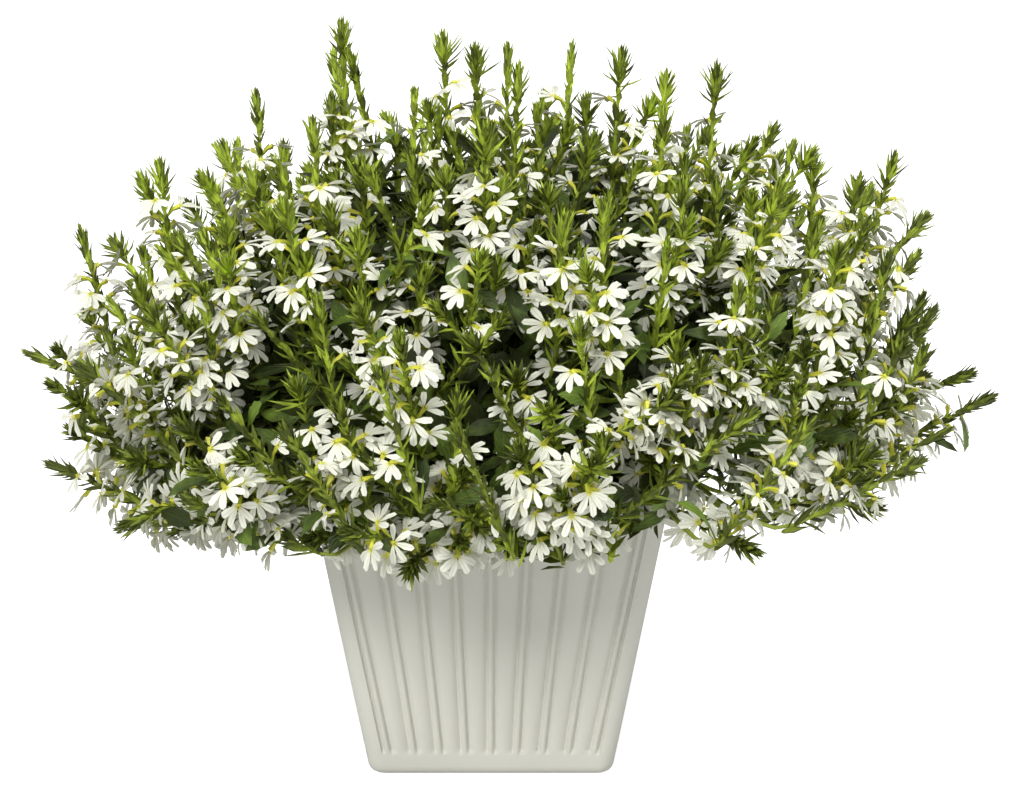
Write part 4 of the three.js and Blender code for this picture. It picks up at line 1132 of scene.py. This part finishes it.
def drain_holes(piece):
    """Cuts four round drain holes through the floor with a Boolean, which is applied."""
    path = np.zeros((4, 2, 3))
    path[..., :2] = DRAIN_AWAY * np.array([[1, 1], [-1, 1], [-1, -1], [1, -1]])[:, None]
    path[..., 2] = DRAIN_HEIGHTS
    points, faces, _ = tubes(path, [0.0, 0.0, 1.0], [0.0, 1.0, 0.0], DRAIN_RADIUS, DRAIN_SIDES, np.zeros(4))
    mesh = bpy.data.meshes.new("drains")
    mesh.from_pydata(points.tolist(), [], faces.tolist())
    cut = piece.modifiers.new("drains", "BOOLEAN")
    cut.operation = "DIFFERENCE"
    cut.solver = "EXACT"
    cut.object = new_object("drains", mesh)
    depsgraph = bpy.context.evaluated_depsgraph_get()
    done = bpy.data.meshes.new_from_object(piece.evaluated_get(depsgraph), depsgraph=depsgraph)
    bpy.data.objects.remove(cut.object)
    piece.modifiers.clear()
    piece.data = done


def soil_bed(soil):
    """The soil as a loft of rounded squares, up its sides and in over a low mound to the middle. Its crumbs
    are a sum of sine waves of drawn directions and lengths."""
    across = np.linspace(*SOIL_SHARES, SOIL_RINGS)
    inset = np.append([1, 1], across)
    z = np.append([SOIL_LOW.z, SOIL_TOP - SOIL_EDGE], SOIL_TOP + soil.mound * (1 - across**2))
    half = np.append(SOIL_FOOT_HALF, np.full(SOIL_RINGS + 1, SOIL_HIGH.x)) * inset
    corner = SOIL_CORNER * inset
    along = np.linspace(-1, 1, SOIL_PLACES) * np.maximum(half - corner, 0)[:, None]
    rings = square_ring(half, z, corner, along, 0)
    x, y = rings[..., :1], rings[..., 1:2]
    wave = np.arange(CRUMB_WAVES)
    turn = np.pi * draw(wave, 71)
    rate = 2 * np.pi / between(*CRUMB_LENGTHS, chance(wave, 72))
    bumps = np.sin(rate * (x * np.cos(turn) + y * np.sin(turn)) + 3 * draw(wave, 73)).sum(-1)
    rings[..., 2] += soil.crumb * 0.5 * bumps * smooth(0, 0.2, 1 - inset)[:, None]
    return upright_loft(rings, np.zeros(rings.shape), SOIL_LOW.z, SOIL_TOP + soil.mound)


class FANFLOWER_OT_pot(Operator):
    """Builds the square reeded pot"""

    bl_idname = "fan_flower.pot"
    bl_label = "Build Pot"

    def execute(self, context):
        pot = context.scene.fan_flower_pot
        finish = pot_finish(pot.colour, pot.shade)
        drain_holes(make_piece("pot_shell", [(*pot_wall(pot), 0)], [finish], ["pot"]))
        return {"FINISHED"}


class FANFLOWER_OT_soil(Operator):
    """Builds the bed of soil"""

    bl_idname = "fan_flower.soil"
    bl_label = "Build Soil"

    def execute(self, context):
        soil = context.scene.fan_flower_soil
        make_piece("soil_bed", [(*soil_bed(soil), 0)], [soil_finish(soil.colour)], ["soil"])
        return {"FINISHED"}


class FANFLOWER_OT_foliage(Operator):
    """Builds the stems, bracts and leaves of each branch"""

    bl_idname = "fan_flower.foliage"
    bl_label = "Build Foliage"

    def execute(self, context):
        foliage = context.scene.fan_flower_foliage
        bract, leaf, young = foliage.bract_colour, foliage.leaf_colour, foliage.young_colour
        finishes = [
            # Stems from near black at the root to mid green: painted shade, deepest in the mound
            stem_finish((0.04, 0.05, 0.012), (0.24, 0.30, 0.030)),
            leaf_finish("bract_green", bract, young, (0.37, 0.46, 0.045), 0.5, 0.55),
            leaf_finish("leaf_green", leaf, (0.07, 0.11, 0.006), (0.14, 0.20, 0.03), 0.18, 0.5),
        ]
        for branch, shoots in each_branch():
            parts = [
                (*stems(shoots), 0),
                (*trunk(branch), 0),
                (*tuft_bracts(shoots, foliage.tuft), 1),
                (*lower_bracts(shoots, foliage.bracts), 1),
                (*stem_leaves(shoots, foliage.leaves), 2),
                (*apron_leaves(shoots), 2),
                (*shade_leaves(branch, foliage.shade_leaves), 2),
            ]
            make_piece(f"foliage_{branch + 1:02d}", parts, finishes, [f"branch_{branch + 1:02d}"])
        return {"FINISHED"}


class FANFLOWER_OT_flowers(Operator):
    """Builds the fans of petals and their tubes on each branch"""

    bl_idname = "fan_flower.flowers"
    bl_label = "Build Flowers"

    def execute(self, context):
        flowers = context.scene.fan_flower_flowers
        young = context.scene.fan_flower_foliage.young_colour
        finishes = [petal_finish(flowers.white, flowers.throat), stem_finish(young, flowers.throat)]
        for branch, shoots in each_branch():
            parts = [(*fans(shoots), 0), (*flower_tubes(shoots), 1)]
            heads = shoots["index"][shoots["index"] < PLANTED]
            replaced = [f"blooms_{index + 1:02d}" for index in heads]
            make_piece(f"flowers_{branch + 1:02d}", parts, finishes, replaced)
        return {"FINISHED"}


# The stage: half the floor's width in metres, the lights' colour and the camera's sensor in millimetres
FLOOR_HALF = 14
SUN_COLOUR = (1, 0.99, 0.97)
SENSOR_WIDTH = 36


class FANFLOWER_OT_stage(Operator):
    """Sets the floor, the soft lights and the camera"""

    bl_idname = "fan_flower.stage"
    bl_label = "Set Stage"

    def execute(self, context):
        scene = context.scene
        stage = scene.fan_flower_stage
        mesh = bpy.data.meshes.new("floor")
        corners = [(FLOOR_HALF * x, FLOOR_HALF * y, 0) for x, y in ((-1, -1), (1, -1), (1, 1), (-1, 1))]
        mesh.from_pydata(corners, [], [(0, 1, 2, 3)])
        mesh.materials.append(floor_finish(stage.floor_colour, stage.glow))
        new_object("floor", mesh)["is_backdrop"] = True
        scene.world = bpy.data.worlds.new("studio")
        scene.world.use_nodes = True
        sky = scene.world.node_tree.nodes["Background"]
        sky.inputs["Color"].default_value = (1, 1, 1, 1)
        sky.inputs["Strength"].default_value = stage.sky
        lights = (("key", stage.key, stage.key_from), ("side", stage.side, stage.side_from))
        for name, strength, source in lights:
            sun = bpy.data.lights.new(name, "SUN")
            sun.energy = strength
            sun.angle = stage.spread
            sun.color = SUN_COLOUR
            new_object(name, sun).rotation_euler = Vector(source).to_track_quat("Z", "Y").to_euler()
        lens = bpy.data.cameras.new("camera")
        lens.lens = stage.lens
        lens.sensor_width = SENSOR_WIDTH
        camera = new_object("camera", lens)
        lift = np.radians(stage.elevation)
        away = Vector((0, -np.cos(lift), np.sin(lift)))
        camera.location = stage.target + stage.distance * away
        camera.rotation_euler = away.to_track_quat("Z", "Y").to_euler()
        scene.camera = camera
        scene.view_settings.view_transform = "Standard"
        return {"FINISHED"}


class FANFLOWER_PT_panel(Panel):
    """Lists the pieces of the plant and their sizes"""

    bl_idname = "FANFLOWER_PT_panel"
    bl_label = "Fan Flower"
    bl_space_type = "VIEW_3D"
    bl_region_type = "UI"
    bl_category = "Fan Flower"

    def draw(self, context):
        for name, _, operator in PARTS:
            box = self.layout.box()
            box.operator(operator.bl_idname)
            settings = getattr(context.scene, name)
            for label in settings.__annotations__:
                box.prop(settings, label)


PARTS = (
    ("fan_flower_pot", PotSettings, FANFLOWER_OT_pot),
    ("fan_flower_soil", SoilSettings, FANFLOWER_OT_soil),
    ("fan_flower_foliage", FoliageSettings, FANFLOWER_OT_foliage),
    ("fan_flower_flowers", FlowerSettings, FANFLOWER_OT_flowers),
    ("fan_flower_stage", StageSettings, FANFLOWER_OT_stage),
)


def register():
    for name, settings, operator in PARTS:
        bpy.utils.register_class(settings)
        setattr(bpy.types.Scene, name, PointerProperty(type=settings))
        bpy.utils.register_class(operator)
    bpy.utils.register_class(FANFLOWER_PT_panel)


def unregister():
    bpy.utils.unregister_class(FANFLOWER_PT_panel)
    for name, settings, operator in reversed(PARTS):
        bpy.utils.unregister_class(operator)
        delattr(bpy.types.Scene, name)
        bpy.utils.unregister_class(settings)


def main():
    register()
    bpy.ops.fan_flower.pot()
    bpy.ops.fan_flower.soil()
    bpy.ops.fan_flower.foliage()
    bpy.ops.fan_flower.flowers()
    bpy.ops.fan_flower.stage()
    boxes = {"cad": CAD_BOX, "visual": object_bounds()}
    {name: [list(corner) for corner in box] for name, box in boxes.items()}


if __name__ == "__main__":
    main()
